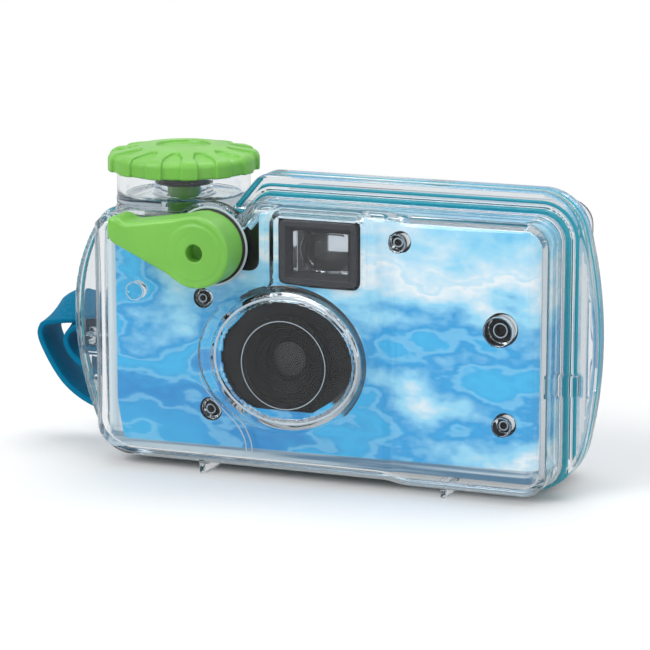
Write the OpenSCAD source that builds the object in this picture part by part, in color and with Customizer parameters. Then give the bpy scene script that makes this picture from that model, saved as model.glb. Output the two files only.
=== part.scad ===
// Waterproof single-use 35 mm film camera.
// Millimetres. X to the right seen from the front, Y to the back, Z up.
// The housing's parting plane is Y = 0 of the working frame; placed() moves
// the whole assembly so that the origin is the bottom centre of its box.

/* [Film] */
// Width of the film
film_w = 35; // [34:0.5:36]
// Diameter of the film cartridge
cartridge_d = 25; // [24.4:0.2:25.4]
// Height of the film cartridge
cartridge_h = 47.2; // [46:0.2:48.2]
// Diameter of the film roll on the supply side
roll_d = 23.8; // [20:0.2:24]

/* [Inner camera] */
// Width of the inner camera
camera_w = 108.5; // [108:0.5:114]
// Depth of the inner camera
camera_d = 32; // [32:0.5:36]
// Rise of the finder deck above the film deck
finder_rise = 8.5; // [8:0.5:12]
// Distance of the lens axis left of the middle
lens_offset = 7; // [5:0.5:8]
// Radius of the lens holder
holder_r = 10.5; // [10:0.1:12]
// Radius of the lens
lens_r = 4; // [3:0.1:4.5]
// Thickness of the printed wrap
wrap_t = 0.3; // [0.2:0.05:0.4]

/* [Housing] */
// Wall thickness of the clear housing
wall = 2; // [1.6:0.1:2.4]
// Room between the inner camera and the housing
cavity_gap = 0.6; // [0.5:0.1:1]
// How far the flange stands out beyond the side walls
flange_out = 8; // [7:0.5:12]
// How far the flange stands out below the bottom wall
flange_drop = 2.7; // [2.5:0.1:5]
// Thickness of each flange
flange_t = 3.2; // [2.4:0.2:4]
// Thickness of the gasket
gasket_t = 1.6; // [1:0.1:2]
// Reach of the lens port in front of the panel
port_reach = 5.7; // [4:0.1:7]
// Reach of the right-hand bulge in front of the panel
bulge_reach = 2; // [1:0.1:3]

/* [Controls] */
// Radius of the advance knob
knob_r = 18.2; // [16.5:0.1:19]
// Height of the knob's side wall
knob_side = 4; // [3:0.1:5]
// Number of recesses round the knob
knob_recesses = 13; // [8:1:16]
// Radius of the knob's shaft
knob_shaft_r = 4; // [3.5:0.1:4.4]
// Radius of the knob's turret
turret_r = 16; // [14.5:0.1:16.4]
// Radius of the lever's hub
hub_r = 8.4; // [7.5:0.1:9]
// Reach of the lever from its pivot
lever_reach = 22.2; // [18:0.1:23]
// Thickness of the lever
lever_t = 9.5; // [7:0.5:11]
// Radius of the lever's shaft
lever_shaft_r = 3; // [2.6:0.1:3.4]

/* [Strap] */
// Width of the strap
strap_w = 11; // [9:0.5:12]
// Thickness of the strap
strap_t = 1.5; // [1.2:0.1:2.2]
// How far the strap's loop reaches out from the lugs
strap_reach = 18.85; // [15:0.05:24]

/* [Hidden] */
$fn = 48;
run_fit = 0.05;
sit_gap = 0.1;
body_gap = 0.3;
sheet = 0.4;

// Inner camera, front to back and bottom to top.
cam_x0 = -camera_w / 2 - 0.25;
cam_x1 = cam_x0 + camera_w;
cam_y0 = -10.5;
cam_y1 = cam_y0 + camera_d;
cover_t = 2;
back_t = 0.9;
chassis_y0 = cam_y0 + cover_t + sit_gap;
chassis_y1 = cam_y1 - back_t - sit_gap;
door_t = 0.8;
cam_corner = 4;
cam_edge = 2;

// Housing cavity and walls.
cav_x0 = cam_x0 - wrap_t - cavity_gap;
cav_x1 = cam_x1 + wrap_t + cavity_gap;
body_x0 = cav_x0 - wall;
body_x1 = cav_x1 + wall;
body_z0 = flange_drop;
cav_z0 = body_z0 + wall;
cam_z0 = cav_z0 + cavity_gap;
can_z0 = cam_z0 + door_t + sit_gap;
can_z1 = can_z0 + cartridge_h;
deck_t = 1;
deck_z = can_z1 + sit_gap + deck_t;
cam_z1 = deck_z + finder_rise;
cav_z1 = cam_z1 + wrap_t + cavity_gap;
body_z1 = cav_z1 + wall;
panel_in = cam_y0 - wrap_t - body_gap;
panel_y = panel_in - wall;
back_in = cam_y1 + wrap_t + body_gap;
back_y = back_in + wall;
seal_y = gasket_t / 2;
gasket_in = 0.2;
gasket_out = 1.2;
seal_room = 0.3;
lip_gap = 0.05;

// Film path.
cart_r = cartridge_d / 2;
door_r = cart_r - 2;
spool_r = 4.4;
axle_end = 3;
can_back = 0.5;
chamber_gap = 0.25;
side_wall = 0.55;
cart_x = cam_x0 + side_wall + chamber_gap + cart_r;
cart_y = chassis_y1 - can_back - cart_r;
film_z = (can_z0 + can_z1) / 2;
film_t = 0.15;
film_inset = 0.5;
film_lead = 4;
film_y = cart_y + cart_r - film_inset;
roll_r = roll_d / 2;
roll_gap = 0.6;
roll_wall = 1.5;
roll_x = cam_x1 - roll_wall - roll_gap - roll_r;
roll_y = film_y - sit_gap - roll_r;
core_r = 3.5;
gate_w = 36;
gate_h = 24;
lens_x = -lens_offset;
lens_z = film_z - 0.3;

// Wind wheel on the film deck, below the turret.
wheel_z = deck_z + wrap_t + 0.4;
wheel_t = 2.4;
wheel_r = 9.5;
wheel_teeth = 30;
wheel_top = wheel_z + wheel_t;
shaft_end = wheel_top + 0.2;
clip_z = shaft_end + 0.5;
clip_t = sheet;
roof_in = clip_z + clip_t + 0.3;
dip_z = roof_in + wall;

// Flange outline.
flange_x0 = body_x0 - flange_out + 0.1;
flange_x1 = body_x1 + flange_out;
flange_z1 = body_z1 + 5.6;
flange_dip = dip_z + 0.5;
flange_mid = flange_z1 / 2 + 0.25;
function bow_r(half, rise) = (half * half + rise * rise) / (2 * rise);
right_bow = bow_r(flange_mid, 6.364);
left_bow_low = bow_r(flange_mid, 9.967);
left_bow_high = bow_r(flange_dip - flange_mid, 9.18);

// Turret, knob and their seal.
turret_z0 = flange_dip + body_gap;
turret_floor = 2;
turret_top = turret_z0 + 8;
knob_z = turret_top + body_gap;
skirt_r = turret_r + 0.6;
skirt_z = knob_z - 0.6;
recess_d = 0.6;
knob_crown = 1.5;
gland_r = 7;
gland_top = turret_top - 0.6;
ring_r = 0.9;
knob_ring_z = gland_top - 2.4;
tongue_w = 2.4;
tongue_l = 7;

// Lever, its boss and the parts on its shaft.
lever_gap = 3.2;
lever_x = cart_x + cart_r + lever_gap;
lever_z = deck_z + 0.9;
lever_y1 = panel_y - body_gap - 0.1;
lever_y0 = lever_y1 - lever_t;
boss_r = 10.5;
boss_y = panel_y - 0.1;
pocket_y1 = cam_y0 + 7;
pocket_x1 = lever_x + 11.5;
tail_r = 1.8;
arm_y0 = cam_y0 + 1.6;
arm_y1 = cam_y0 + 5.2;
nose_r = 1.2;
button_y = (arm_y0 + arm_y1) / 2 + 0.8;
button_top = deck_z + 0.7;
button_r = 2.1;
button_room = 0.6;
arm_r = 8.7;
button_away = cart_r + chamber_gap + button_room + button_r;
button_side = max(0, button_away * button_away - (cart_y - button_y) * (cart_y - button_y));
button_x = max(lever_x - arm_r, cart_x + sqrt(button_side));
stem_r = 1.5;
nose_z = button_top + sit_gap + nose_r;
pocket_z0 = deck_z - 8;

// Viewfinder.
finder_x0 = lens_x - 1.6;
finder_x1 = finder_x0 + 19;
finder_z0 = cam_z1 - 15.2;
finder_z1 = cam_z1 - 0.4;
finder_rim = 2.6;
bezel_y = cam_y0 - 1.4;
bump_x0 = finder_x0 - 2.6;
bump_x1 = finder_x1 + 8.4;
bump_y = panel_y - 1.4;
step_x = lever_x + 1.5;
shoulder_z = roof_in - wrap_t - cavity_gap;

// Right-hand bulge.
bulge_x0 = bump_x1;
bulge_y = panel_y - bulge_reach;

// Lens port, an oval that narrows towards the front.
port_base = [lens_x - 1.3, lens_z + 0.1];
port_front = [lens_x + 2.4, lens_z + 1.3];
port_base_a = 21.5;
port_base_b = 17.7;
port_a = 18.4;
port_b = 15.9;
port_y = panel_y - port_reach;
rim_w = 1.8;
rim_h = 0.8;

// Shutter, in the chamber behind the lens.
room_y1 = chassis_y0 + 3.9;
blade_y = chassis_y0 + 1.8;
striker_y = chassis_y0 + 0.5;
blade_pivot = [lens_x - 9, lens_z + 7.8];
striker_pivot = [lens_x - 13, lens_z - 7.2];
pin_r = 1;
coil_wire = 0.4;

// Sprocket and counter.
sprocket_r = 6;
sprocket_teeth = 8;
sprocket_x = lens_x + 24;
sprocket_y = film_y - sprocket_r - 0.25;
sprocket_z = film_z + film_w / 2 - 3.4;
sprocket_t = 1.4;
axle_r = 1.5;
cam_disc_z = cam_z1 - 4.2;
counter_x = sprocket_x + 6;
counter_y = sprocket_y - 6.2;
counter_r = 5.6;
counter_z = cam_disc_z;

// Strap and lugs on the left wall of the rear half.
strap_x = body_x0 - 3.4;
strap_y0 = 5.5;
lug_t = 1.6;
lug_gap = 0.9;
lug_h = 4;
lug_low = 13;
lug_high = 26;

// Locating posts: x, z and radius of each.
peg_x = lever_x - 18.3;
peg_z = lever_z - 11.5;
peg_r = 2.2;
peg_l = 3;
window_x = lens_x + 1.2;
window_z = lens_z - 0.1;
window_r = 10.4;
field_r = holder_r + 5.7;
field_left = 17.2;
posts = [
    [lens_x - 21.2, deck_z - 11.9, 1.8],
    [lens_x - 19.4, cam_z0 + 10.8, 2.2],
    [finder_x1 + 10.4, cam_z1 - 3.8, 1.8],
    [bulge_x0 + 26.3, film_z + 10.9, 3.2],
    [bulge_x0 + 27.3, cam_z0 + 13.4, 2]
];
post_room = 0.7;
post_y = cam_y0 + 1.7;

// Feet: ribs under both halves, in line with the flange's lower edge.
feet_x = [-28.7, 31.6];
foot_t = 1.6;
foot_front = -12;
foot_back = back_y - 4;
catch_w = 5;
catch_h = 5;
catch_z = 25;

// Box of the assembly, for the origin.
box_x0 = strap_x - strap_reach - strap_t / 2;
eyepiece_y = back_y + 1.8;
shift = [-(box_x0 + flange_x1) / 2, -(lever_y0 + eyepiece_y) / 2, 0];

clear = [0.86, 0.93, 0.96, 0.45];
teal = [0.0, 0.62, 0.7];
strap_teal = [0.04, 0.42, 0.54];
green = [0.48, 0.79, 0.32];
black = [0.13, 0.14, 0.15];
grey = [0.62, 0.64, 0.67];
print_blue = [0.3, 0.66, 0.88];
steel = [0.75, 0.76, 0.78];
film_brown = [0.3, 0.22, 0.18];
lens_tint = [0.7, 0.8, 0.86, 0.6];

// Helpers.

module placed() {
    translate(shift) children();
}

module box(x0, x1, y0, y1, z0, z1) {
    translate([x0, y0, z0]) cube([x1 - x0, y1 - y0, z1 - z0]);
}

// A flat shape drawn in X and Z, given depth from y0 to y1.
module slab(y0, y1) {
    translate([0, y1, 0]) rotate([90, 0, 0]) linear_extrude(height = y1 - y0) children();
}

module y_rod(x, z, r, y0, y1) {
    translate([x, y0, z]) rotate([-90, 0, 0]) cylinder(h = y1 - y0, r = r);
}

module z_rod(x, y, r, z0, z1) {
    translate([x, y, z0]) cylinder(h = z1 - z0, r = r);
}

function arc(c, r, a0, a1, n) =
    [for (i = [0:n]) [c[0] + r * cos(a0 + (a1 - a0) * i / n), c[1] + r * sin(a0 + (a1 - a0) * i / n)]];

// Rounded rectangle as points, counter-clockwise.
function round_rect(x0, x1, z0, z1, r, n) = concat(
    arc([x1 - r, z0 + r], r, -90, 0, n),
    arc([x1 - r, z1 - r], r, 0, 90, n),
    arc([x0 + r, z1 - r], r, 90, 180, n),
    arc([x0 + r, z0 + r], r, 180, 270, n));

function oval(c, a, b, n) = [for (i = [0:n - 1]) [c[0] + a * cos(i * 360 / n), c[1] + b * sin(i * 360 / n)]];

// Solid through a row of outlines; each layer is [y, points] and y falls along the row.
module loft(layers) {
    n = len(layers[0][1]);
    m = len(layers);
    pts = [for (layer = layers) for (p = layer[1]) [p[0], layer[0], p[1]]];
    sides = [for (k = [0:m - 2]) for (i = [0:n - 1]) each [
        [k * n + i, (k + 1) * n + i, (k + 1) * n + (i + 1) % n],
        [k * n + i, (k + 1) * n + (i + 1) % n, k * n + (i + 1) % n]]];
    first = [for (i = [0:n - 1]) i];
    last = [for (i = [n - 1:-1:0]) (m - 1) * n + i];
    polyhedron(points = pts, faces = concat([first], [last], sides), convexity = 6);
}

// Round wire bent along a helix round the Y axis.
module coil(x, z, r, wire, y0, turns) {
    pitch = wire * 1.25;
    steps = 12;
    n = 6;
    m = turns * steps;
    pts = [for (k = [0:m]) for (i = [0:n - 1])
        let (a = k * 360 / steps, q = r + wire / 2 * cos(i * 360 / n))
        [x + q * cos(a), y0 + wire / 2 + pitch * k / steps + wire / 2 * sin(i * 360 / n), z + q * sin(a)]];
    sides = [for (k = [0:m - 1]) for (i = [0:n - 1]) each [
        [k * n + i, (k + 1) * n + (i + 1) % n, (k + 1) * n + i],
        [k * n + i, k * n + (i + 1) % n, (k + 1) * n + (i + 1) % n]]];
    first = [for (i = [n - 1:-1:0]) i];
    last = [for (i = [0:n - 1]) m * n + i];
    polyhedron(points = pts, faces = concat([first], [last], sides), convexity = 6);
}

// Outlines of the housing.

// Fall from an upper edge to a lower edge going left: slope of 50 degrees between two rounds.
slope = 50;
function fall_run(drop, r) = (drop - r * (2 - 2 * cos(slope))) / sin(slope) * cos(slope) + 2 * r * sin(slope);
function fall(x, z1, z0, r, inset) = concat(
    arc([x, z1 - r], r - inset, 90, 90 + slope, 4),
    arc([x - fall_run(z1 - z0, r), z0 + r], r + inset, 270 + slope, 270, 4));

body_r = 6;
body_fall_r = 4;
body_fall_x = lever_x + 11;
function body_outline(inset) = concat(
    arc([body_x1 - body_r, body_z0 + body_r], body_r - inset, -90, 0, 6),
    arc([body_x1 - body_r, body_z1 - body_r], body_r - inset, 0, 90, 6),
    fall(body_fall_x, body_z1, dip_z, body_fall_r, inset),
    arc([body_x0 + body_r, dip_z - body_r], body_r - inset, 90, 180, 6),
    arc([body_x0 + body_r, body_z0 + body_r], body_r - inset, 180, 270, 6));

function bow_corner(bx, br, r, z, side) =
    [bx + side * sqrt((br - r) * (br - r) - (z - flange_mid) * (z - flange_mid)), z];
corner_r = 14;
corner_top = 11;
shoulder_r = 7;
flange_z0 = 1.2;
flange_fall_r = 5;
right_x = flange_x1 - right_bow;
low_x = flange_x0 + left_bow_low;
high_x = flange_x0 + left_bow_high;
corner_br = bow_corner(right_x, right_bow, corner_r, flange_z0 + corner_r, 1);
corner_tr = bow_corner(right_x, right_bow, corner_top, flange_z1 - corner_top, 1);
corner_tl = bow_corner(high_x, left_bow_high, shoulder_r, flange_dip - shoulder_r, -1);
corner_bl = bow_corner(low_x, left_bow_low, corner_r, flange_z0 + corner_r, -1);
angle_br = atan2(corner_br[1] - flange_mid, corner_br[0] - right_x);
angle_tr = atan2(corner_tr[1] - flange_mid, corner_tr[0] - right_x);
angle_tl = atan2(corner_tl[1] - flange_mid, corner_tl[0] - high_x);
angle_bl = 360 + atan2(corner_bl[1] - flange_mid, corner_bl[0] - low_x);
function flange_outline(inset) = concat(
    arc(corner_br, corner_r - inset, -90, angle_br, 6),
    arc([right_x, flange_mid], right_bow - inset, angle_br, angle_tr, 6),
    arc(corner_tr, corner_top - inset, angle_tr, 90, 6),
    fall(body_fall_x, flange_z1, flange_dip, flange_fall_r, inset),
    arc(corner_tl, shoulder_r - inset, 90, angle_tl, 4),
    arc([high_x, flange_mid], left_bow_high - inset, angle_tl, 180, 4),
    arc([low_x, flange_mid], left_bow_low - inset, 180, angle_bl, 4),
    arc(corner_bl, corner_r - inset, angle_bl, 270, 6));

// Front half.

module front_body() {
    loft([
        [-seal_y, body_outline(0)],
        [panel_y + 4.5, body_outline(0)],
        [panel_y + 1.6, body_outline(0.8)],
        [panel_y + 0.5, body_outline(1.9)],
        [panel_y, body_outline(3.2)]]);
}

module front_cavity() {
    loft([
        [-seal_y + 1, body_outline(wall)],
        [panel_in + 1.2, body_outline(wall)],
        [panel_in, body_outline(wall + 0.3)]]);
}

function bulge_outline(g) = round_rect(bulge_x0 + g, body_x1 - g, body_z0 + g, body_z1 - g, body_r - g, 5);

module bulge(grow) {
    loft([
        [panel_y + 5, bulge_outline(grow)],
        [bulge_y + grow + 2, bulge_outline(grow + 0.6)],
        [bulge_y + grow + 0.7, bulge_outline(grow + 1.8)],
        [bulge_y + grow, bulge_outline(grow + 3.6)]]);
}

module bump(grow) {
    slab(bump_y + grow, panel_y + 3)
        polygon(round_rect(bump_x0 + grow, bump_x1 + 3,
            finder_z0 - 2.6 + grow, body_z1 - 0.6 - grow, 4 - grow, 5));
}

module port(grow) {
    loft([
        [panel_y + 3, oval(port_base, port_base_a - grow, port_base_b - grow, 40)],
        [panel_y, oval(port_base, port_base_a - grow, port_base_b - grow, 40)],
        [port_y + grow, oval(port_front, port_a - grow, port_b - grow, 40)]]);
}

// Lips inside and outside the gasket's channel, which meet those of the other half.
module flange_lips(y0, y1) {
    slab(y0, y1) difference() {
        polygon(flange_outline(0));
        polygon(body_outline(-gasket_out - seal_room));
    }
    slab(y0, y1) polygon(body_outline(gasket_in + seal_room));
}

// Fine groove on the inside of the port that bounds its optical window.
module window_groove() {
    y0 = port_y + wall - 0.3;
    difference() {
        y_rod(window_x, window_z, window_r + 0.25, y0, y0 + 1);
        y_rod(window_x, window_z, window_r - 0.25, y0 - 1, y0 + 2);
    }
}

module port_sight() {
    slab(port_y - 1, port_y + rim_h) polygon(oval(port_front, port_a - rim_w, port_b - rim_w, 40));
}

module feet(y0, y1) {
    for (x = feet_x) box(x - foot_t / 2, x + foot_t / 2, y0, y1, 0, body_z0 + 1);
}

// Snap catches between the side walls and the flange.
module catches() {
    y1 = -seal_y - flange_t + 0.5;
    for (x = [body_x0 - catch_w + 0.5, body_x1 - 0.5])
        box(x, x + catch_w, y1 - 2.5, y1, catch_z, catch_z + catch_h);
}

module lever_bore() {
    y_rod(lever_x, lever_z, lever_shaft_r + run_fit, boss_y - 1, panel_in + 1);
    y_rod(lever_x, lever_z, lever_shaft_r + 2 * ring_r - 0.1, panel_in - 2 * ring_r + 0.1, panel_in + 1);
}

module front_shell() {
    placed() color(clear) union() {
        difference() {
            union() {
                front_body();
                slab(-seal_y - flange_t, -seal_y) polygon(flange_outline(0));
                flange_lips(-seal_y - 0.5, -lip_gap);
                bulge(0);
                bump(0);
                port(0);
                y_rod(lever_x, lever_z, boss_r, boss_y, panel_in);
                feet(foot_front, -seal_y);
                catches();
                y_rod(peg_x, peg_z, peg_r, panel_y - peg_l, panel_y + 0.5);
            }
            front_cavity();
            bulge(wall);
            bump(wall);
            port(wall);
            port_sight();
            window_groove();
            lever_bore();
        }
        for (p = posts) y_rod(p[0], p[1], p[2], (p[0] > bulge_x0 ? bulge_y + wall : panel_in) - 0.5, post_y);
    }
}

// Rear half.

module rear_body() {
    loft([
        [back_y, body_outline(4)],
        [back_y - 0.8, body_outline(2)],
        [back_y - 2.4, body_outline(0.7)],
        [back_y - 5, body_outline(0)],
        [seal_y, body_outline(0)]]);
}

module rear_cavity() {
    loft([
        [back_in, body_outline(wall + 0.3)],
        [back_in - 1.2, body_outline(wall)],
        [seal_y - 1, body_outline(wall)]]);
}

module turret() {
    difference() {
        z_rod(cart_x, cart_y, turret_r, turret_z0, turret_top);
        z_rod(cart_x, cart_y, turret_r - wall, turret_z0 + turret_floor, turret_top + 1);
    }
    z_rod(cart_x, cart_y, gland_r, turret_z0 + 1, gland_top);
}

module turret_foot() {
    intersection() {
        z_rod(cart_x, cart_y, turret_r, dip_z - 5, turret_z0 + 1);
        box(cart_x - turret_r, cart_x + turret_r, seal_y, back_y, 0, turret_top);
    }
}

module knob_bore() {
    z_rod(cart_x, cart_y, knob_shaft_r + run_fit, roof_in - 1, gland_top + 1);
    z_rod(cart_x, cart_y, knob_shaft_r + 2 * ring_r - 0.1, knob_ring_z - ring_r, knob_ring_z + ring_r);
}

module strap_lug(z) {
    x0 = strap_x - strap_t / 2 - lug_gap - lug_t;
    y0 = strap_y0 - lug_gap;
    y1 = strap_y0 + strap_w + lug_gap;
    difference() {
        box(x0, body_x0 + 1, y0 - lug_t, y1 + lug_t, z, z + lug_h);
        box(x0 + lug_t, body_x0, y0, y1, z - 1, z + lug_h + 1);
    }
}

module eyepiece() {
    difference() {
        box(finder_x0 + 1, finder_x1 - 1, back_y - 1.5, eyepiece_y, finder_z0 + 1, finder_z1 - 2.6);
        box(finder_x0 + 3, finder_x1 - 3, back_y, eyepiece_y + 1, finder_z0 + 3, finder_z1 - 4.6);
    }
}

module rear_shell() {
    placed() color(clear) difference() {
        union() {
            rear_body();
            slab(seal_y, seal_y + flange_t) polygon(flange_outline(0));
            flange_lips(lip_gap, seal_y + 0.5);
            turret();
            turret_foot();
            strap_lug(lug_low);
            strap_lug(lug_high);
            eyepiece();
            feet(seal_y, foot_back);
        }
        rear_cavity();
        knob_bore();
    }
}

module perimeter_gasket() {
    placed() color(teal) slab(-seal_y, seal_y) difference() {
        intersection() {
            polygon(body_outline(-gasket_out));
            polygon(flange_outline(0.3));
        }
        polygon(body_outline(gasket_in));
    }
}

// Knob and what turns with it.

module knob_seal_ring() {
    placed() color(black) translate([cart_x, cart_y, knob_ring_z])
        rotate_extrude() translate([knob_shaft_r + ring_r - 0.04, 0]) circle(r = ring_r - 0.1, $fn = 24);
}

module knob_recess() {
    w = PI * knob_r / knob_recesses * 0.94;
    translate([knob_r - recess_d, -w / 2, knob_z - 1]) cube([4, w, knob_side + 4]);
    translate([knob_r * 0.62, -w / 2, knob_z + knob_side + knob_crown * 0.75 - 0.55])
        rotate([0, 11, 0]) cube([knob_r, w, 4]);
}

module advance_knob() {
    crown_z = knob_z + knob_side + knob_crown;
    placed() color(green) translate([cart_x, cart_y, 0]) union() {
        difference() {
            rotate_extrude($fn = 96) polygon([
                [0, knob_z], [skirt_r, knob_z], [skirt_r, skirt_z], [knob_r - 0.4, skirt_z],
                [knob_r, skirt_z + 0.4],
                [knob_r - 0.15, knob_z + knob_side - 1.7], [knob_r - 1, knob_z + knob_side - 0.5],
                [knob_r - 2.6, knob_z + knob_side + 0.2], [knob_r * 0.58, crown_z - knob_crown * 0.3],
                [knob_r * 0.4, crown_z], [knob_r * 0.33, crown_z],
                [knob_r * 0.25, crown_z - 0.8], [0, crown_z - 0.8]]);
            for (i = [0:knob_recesses - 1]) rotate([0, 0, i * 360 / knob_recesses - 76]) knob_recess();
        }
        difference() {
            translate([0, 0, shaft_end]) cylinder(h = knob_z - shaft_end + 0.5, r = knob_shaft_r);
            difference() {
                translate([0, 0, clip_z - run_fit]) cylinder(h = clip_t + 2 * run_fit, r = knob_shaft_r + 1);
                translate([0, 0, clip_z - 1]) cylinder(h = clip_t + 2, r = knob_shaft_r - 0.8);
            }
        }
        translate([-tongue_l / 2, -tongue_w / 2, wheel_z + 0.9])
            cube([tongue_l, tongue_w, shaft_end - wheel_z - 0.4]);
    }
}

module knob_clip() {
    placed() color(steel) translate([cart_x, cart_y, clip_z]) difference() {
        cylinder(h = clip_t, r = knob_shaft_r + 2);
        translate([0, 0, -1]) cylinder(h = clip_t + 2, r = knob_shaft_r - 0.8 + run_fit);
        translate([0, -1.5, -1]) cube([knob_shaft_r + 4, 3, clip_t + 2]);
    }
}

// Film transport.

module wind_wheel() {
    tooth = 360 / wheel_teeth;
    placed() color(black) translate([cart_x, cart_y, 0]) union() {
        difference() {
            translate([0, 0, wheel_z]) linear_extrude(height = wheel_t) polygon(
                [for (i = [0:wheel_teeth - 1]) each [
                    [wheel_r * cos(i * tooth), wheel_r * sin(i * tooth)],
                    [(wheel_r - 0.8) * cos(i * tooth + 1), (wheel_r - 0.8) * sin(i * tooth + 1)]]]);
            translate([-tongue_l / 2 - 0.2, -tongue_w / 2 - 0.2, wheel_z + 0.8])
                cube([tongue_l + 0.4, tongue_w + 0.4, wheel_t]);
        }
        translate([0, 0, can_z1]) cylinder(h = wheel_z - can_z1, r = 3);
        translate([-2.5, -0.8, can_z1 - 3]) cube([5, 1.6, 3.5]);
    }
}

module cartridge_spool() {
    placed() color(black) translate([cart_x, cart_y, 0]) difference() {
        union() {
            translate([0, 0, can_z0 + 0.4]) cylinder(h = cartridge_h - 0.8, r = spool_r);
            translate([0, 0, can_z0 + 1.4]) cylinder(h = 1, r = cart_r - 1.2);
            translate([0, 0, can_z1 - 2.4]) cylinder(h = 1, r = cart_r - 1.2);
        }
        translate([-2.6, -0.9, can_z1 - 3.1]) cube([5.2, 1.8, 4]);
    }
}

module cartridge_can() {
    placed() color(grey) translate([cart_x, cart_y, 0]) difference() {
        translate([0, 0, can_z0 + 1.05]) cylinder(h = cartridge_h - 2.1, r = cart_r);
        translate([0, 0, can_z0]) cylinder(h = cartridge_h, r = cart_r - 0.5);
        translate([1.5, film_y - cart_y - 0.6, film_z - film_w / 2 - 0.4])
            cube([8, 1.4, film_w + 0.8]);
    }
}

module cartridge_end_caps() {
    placed() color(black) translate([cart_x, cart_y, 0]) for (z = [can_z0, can_z1 - 1]) difference() {
        translate([0, 0, z]) cylinder(h = 1, r = cart_r);
        translate([0, 0, z - 1]) cylinder(h = 3, r = spool_r + run_fit);
    }
}

module film_strip() {
    x0 = cart_x + film_lead;
    x1 = roll_x;
    placed() color(film_brown) difference() {
        box(x0, x1, film_y, film_y + film_t, film_z - film_w / 2, film_z + film_w / 2);
        box(sprocket_x - film_lead, sprocket_x + film_lead, film_y - 1, film_y + 1,
            sprocket_z - 0.4, sprocket_z + sprocket_t + 0.4);
    }
}

module film_roll() {
    placed() color(film_brown) difference() {
        z_rod(roll_x, roll_y, roll_r, film_z - film_w / 2, film_z + film_w / 2);
        z_rod(roll_x, roll_y, core_r + 0.02, film_z - film_w, film_z + film_w);
    }
}

module supply_core() {
    placed() color(black) union() {
        z_rod(roll_x, roll_y, core_r, film_z - film_w / 2 - 0.8, film_z + film_w / 2 + 0.8);
        z_rod(roll_x, roll_y, axle_r, film_z - film_w / 2 - axle_end, film_z + film_w / 2 + axle_end);
    }
}

module sprocket_shaft() {
    tooth = 360 / sprocket_teeth;
    placed() color(black) union() {
        z_rod(sprocket_x, sprocket_y, axle_r, sprocket_z - axle_end, cam_disc_z);
        z_rod(sprocket_x, sprocket_y, sprocket_r, sprocket_z, sprocket_z + sprocket_t);
        for (i = [0:sprocket_teeth - 1])
            translate([sprocket_x, sprocket_y, sprocket_z]) rotate([0, 0, 90 + i * tooth])
                linear_extrude(height = sprocket_t) polygon([
                    [sprocket_r - 0.4, -0.7], [sprocket_r + 0.8, -0.4],
                    [sprocket_r + 0.8, 0.4], [sprocket_r - 0.4, 0.7]]);
        difference() {
            z_rod(sprocket_x, sprocket_y, 2.4, cam_disc_z - 0.5, cam_disc_z + 1.2);
            box(sprocket_x + 1.6, sprocket_x + 4, sprocket_y - 3, sprocket_y + 3,
                cam_disc_z - 1, cam_disc_z + 2);
        }
    }
}

module counter_disc() {
    tooth = 360 / 28;
    placed() color(grey) translate([counter_x, counter_y, 0]) union() {
        translate([0, 0, counter_z]) linear_extrude(height = 1) polygon(
            [for (i = [0:27]) each [
                [counter_r * cos(i * tooth), counter_r * sin(i * tooth)],
                [(counter_r - 0.5) * cos(i * tooth + 1.5), (counter_r - 0.5) * sin(i * tooth + 1.5)]]]);
        translate([0, 0, counter_z - 2]) cylinder(h = 2.5, r = axle_r);
    }
}

module counter_window() {
    placed() color(lens_tint) z_rod(counter_x, counter_y, 3, cam_z1 - 0.9, cam_z1);
}

module ratchet_pawl() {
    x0 = cart_x + wheel_r + 0.35;
    placed() color(black) union() {
        box(x0 + 1, x0 + 2.2, cart_y - 1, cart_y + 9, deck_z, deck_z + 1.8);
        box(x0 + 1, x0 + 4, cart_y + 6, cart_y + 9, deck_z, deck_z + 1.8);
        slab(cart_y - 1, cart_y + 0.4) polygon([
            [x0, deck_z + 0.5], [x0 + 1.2, deck_z], [x0 + 1.2, deck_z + 1.8], [x0, deck_z + 1.4]]);
    }
}

// Lever and what it presses.

module lever_seal_ring() {
    placed() color(black) translate([lever_x, panel_in - ring_r + 0.1, lever_z]) rotate([90, 0, 0])
        rotate_extrude() translate([lever_shaft_r + ring_r - 0.04, 0]) circle(r = ring_r - 0.1, $fn = 24);
}

module shutter_lever() {
    r = lever_reach;
    placed() color(green) translate([lever_x, 0, lever_z]) difference() {
        union() {
            slab(lever_y0, lever_y1) union() {
                circle(r = hub_r);
                polygon([
                    [-0.5, -hub_r * 0.99], [1, hub_r * 0.99], [-2, hub_r * 0.97], [-r * 0.8, hub_r * 0.68],
                    [-r * 0.885, hub_r * 0.83], [-r * 0.955, hub_r * 0.84], [-r * 0.988, hub_r * 0.78],
                    [-r, hub_r * 0.6], [-r, hub_r * 0.32], [-r * 0.958, hub_r * 0.13],
                    [-hub_r * 0.4, -hub_r * 0.86]]);
            }
            y_rod(0, 0, lever_shaft_r, lever_y1 - 1, panel_in);
            y_rod(0, 0, tail_r, lever_y1 - 1, arm_y1);
        }
        y_rod(0, 0, 2.05, lever_y0 - 1, lever_y0 + 4);
        y_rod(0, 0, 0.8, arm_y1 - 4, arm_y1 + 1);
    }
}

module press_arm() {
    placed() color(black) difference() {
        union() {
            y_rod(lever_x, lever_z, tail_r + 1, arm_y0, arm_y1 - 0.1);
            y_rod(button_x, nose_z, nose_r, arm_y0, arm_y1 - 0.1);
            slab(arm_y0, arm_y1 - 0.1) polygon([
                [lever_x, lever_z + tail_r + 0.9], [button_x, nose_z + nose_r],
                [button_x, nose_z], [lever_x, lever_z]]);
        }
        y_rod(lever_x, lever_z, tail_r + 0.02, arm_y0 - 1, arm_y1 + 1);
    }
}

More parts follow.
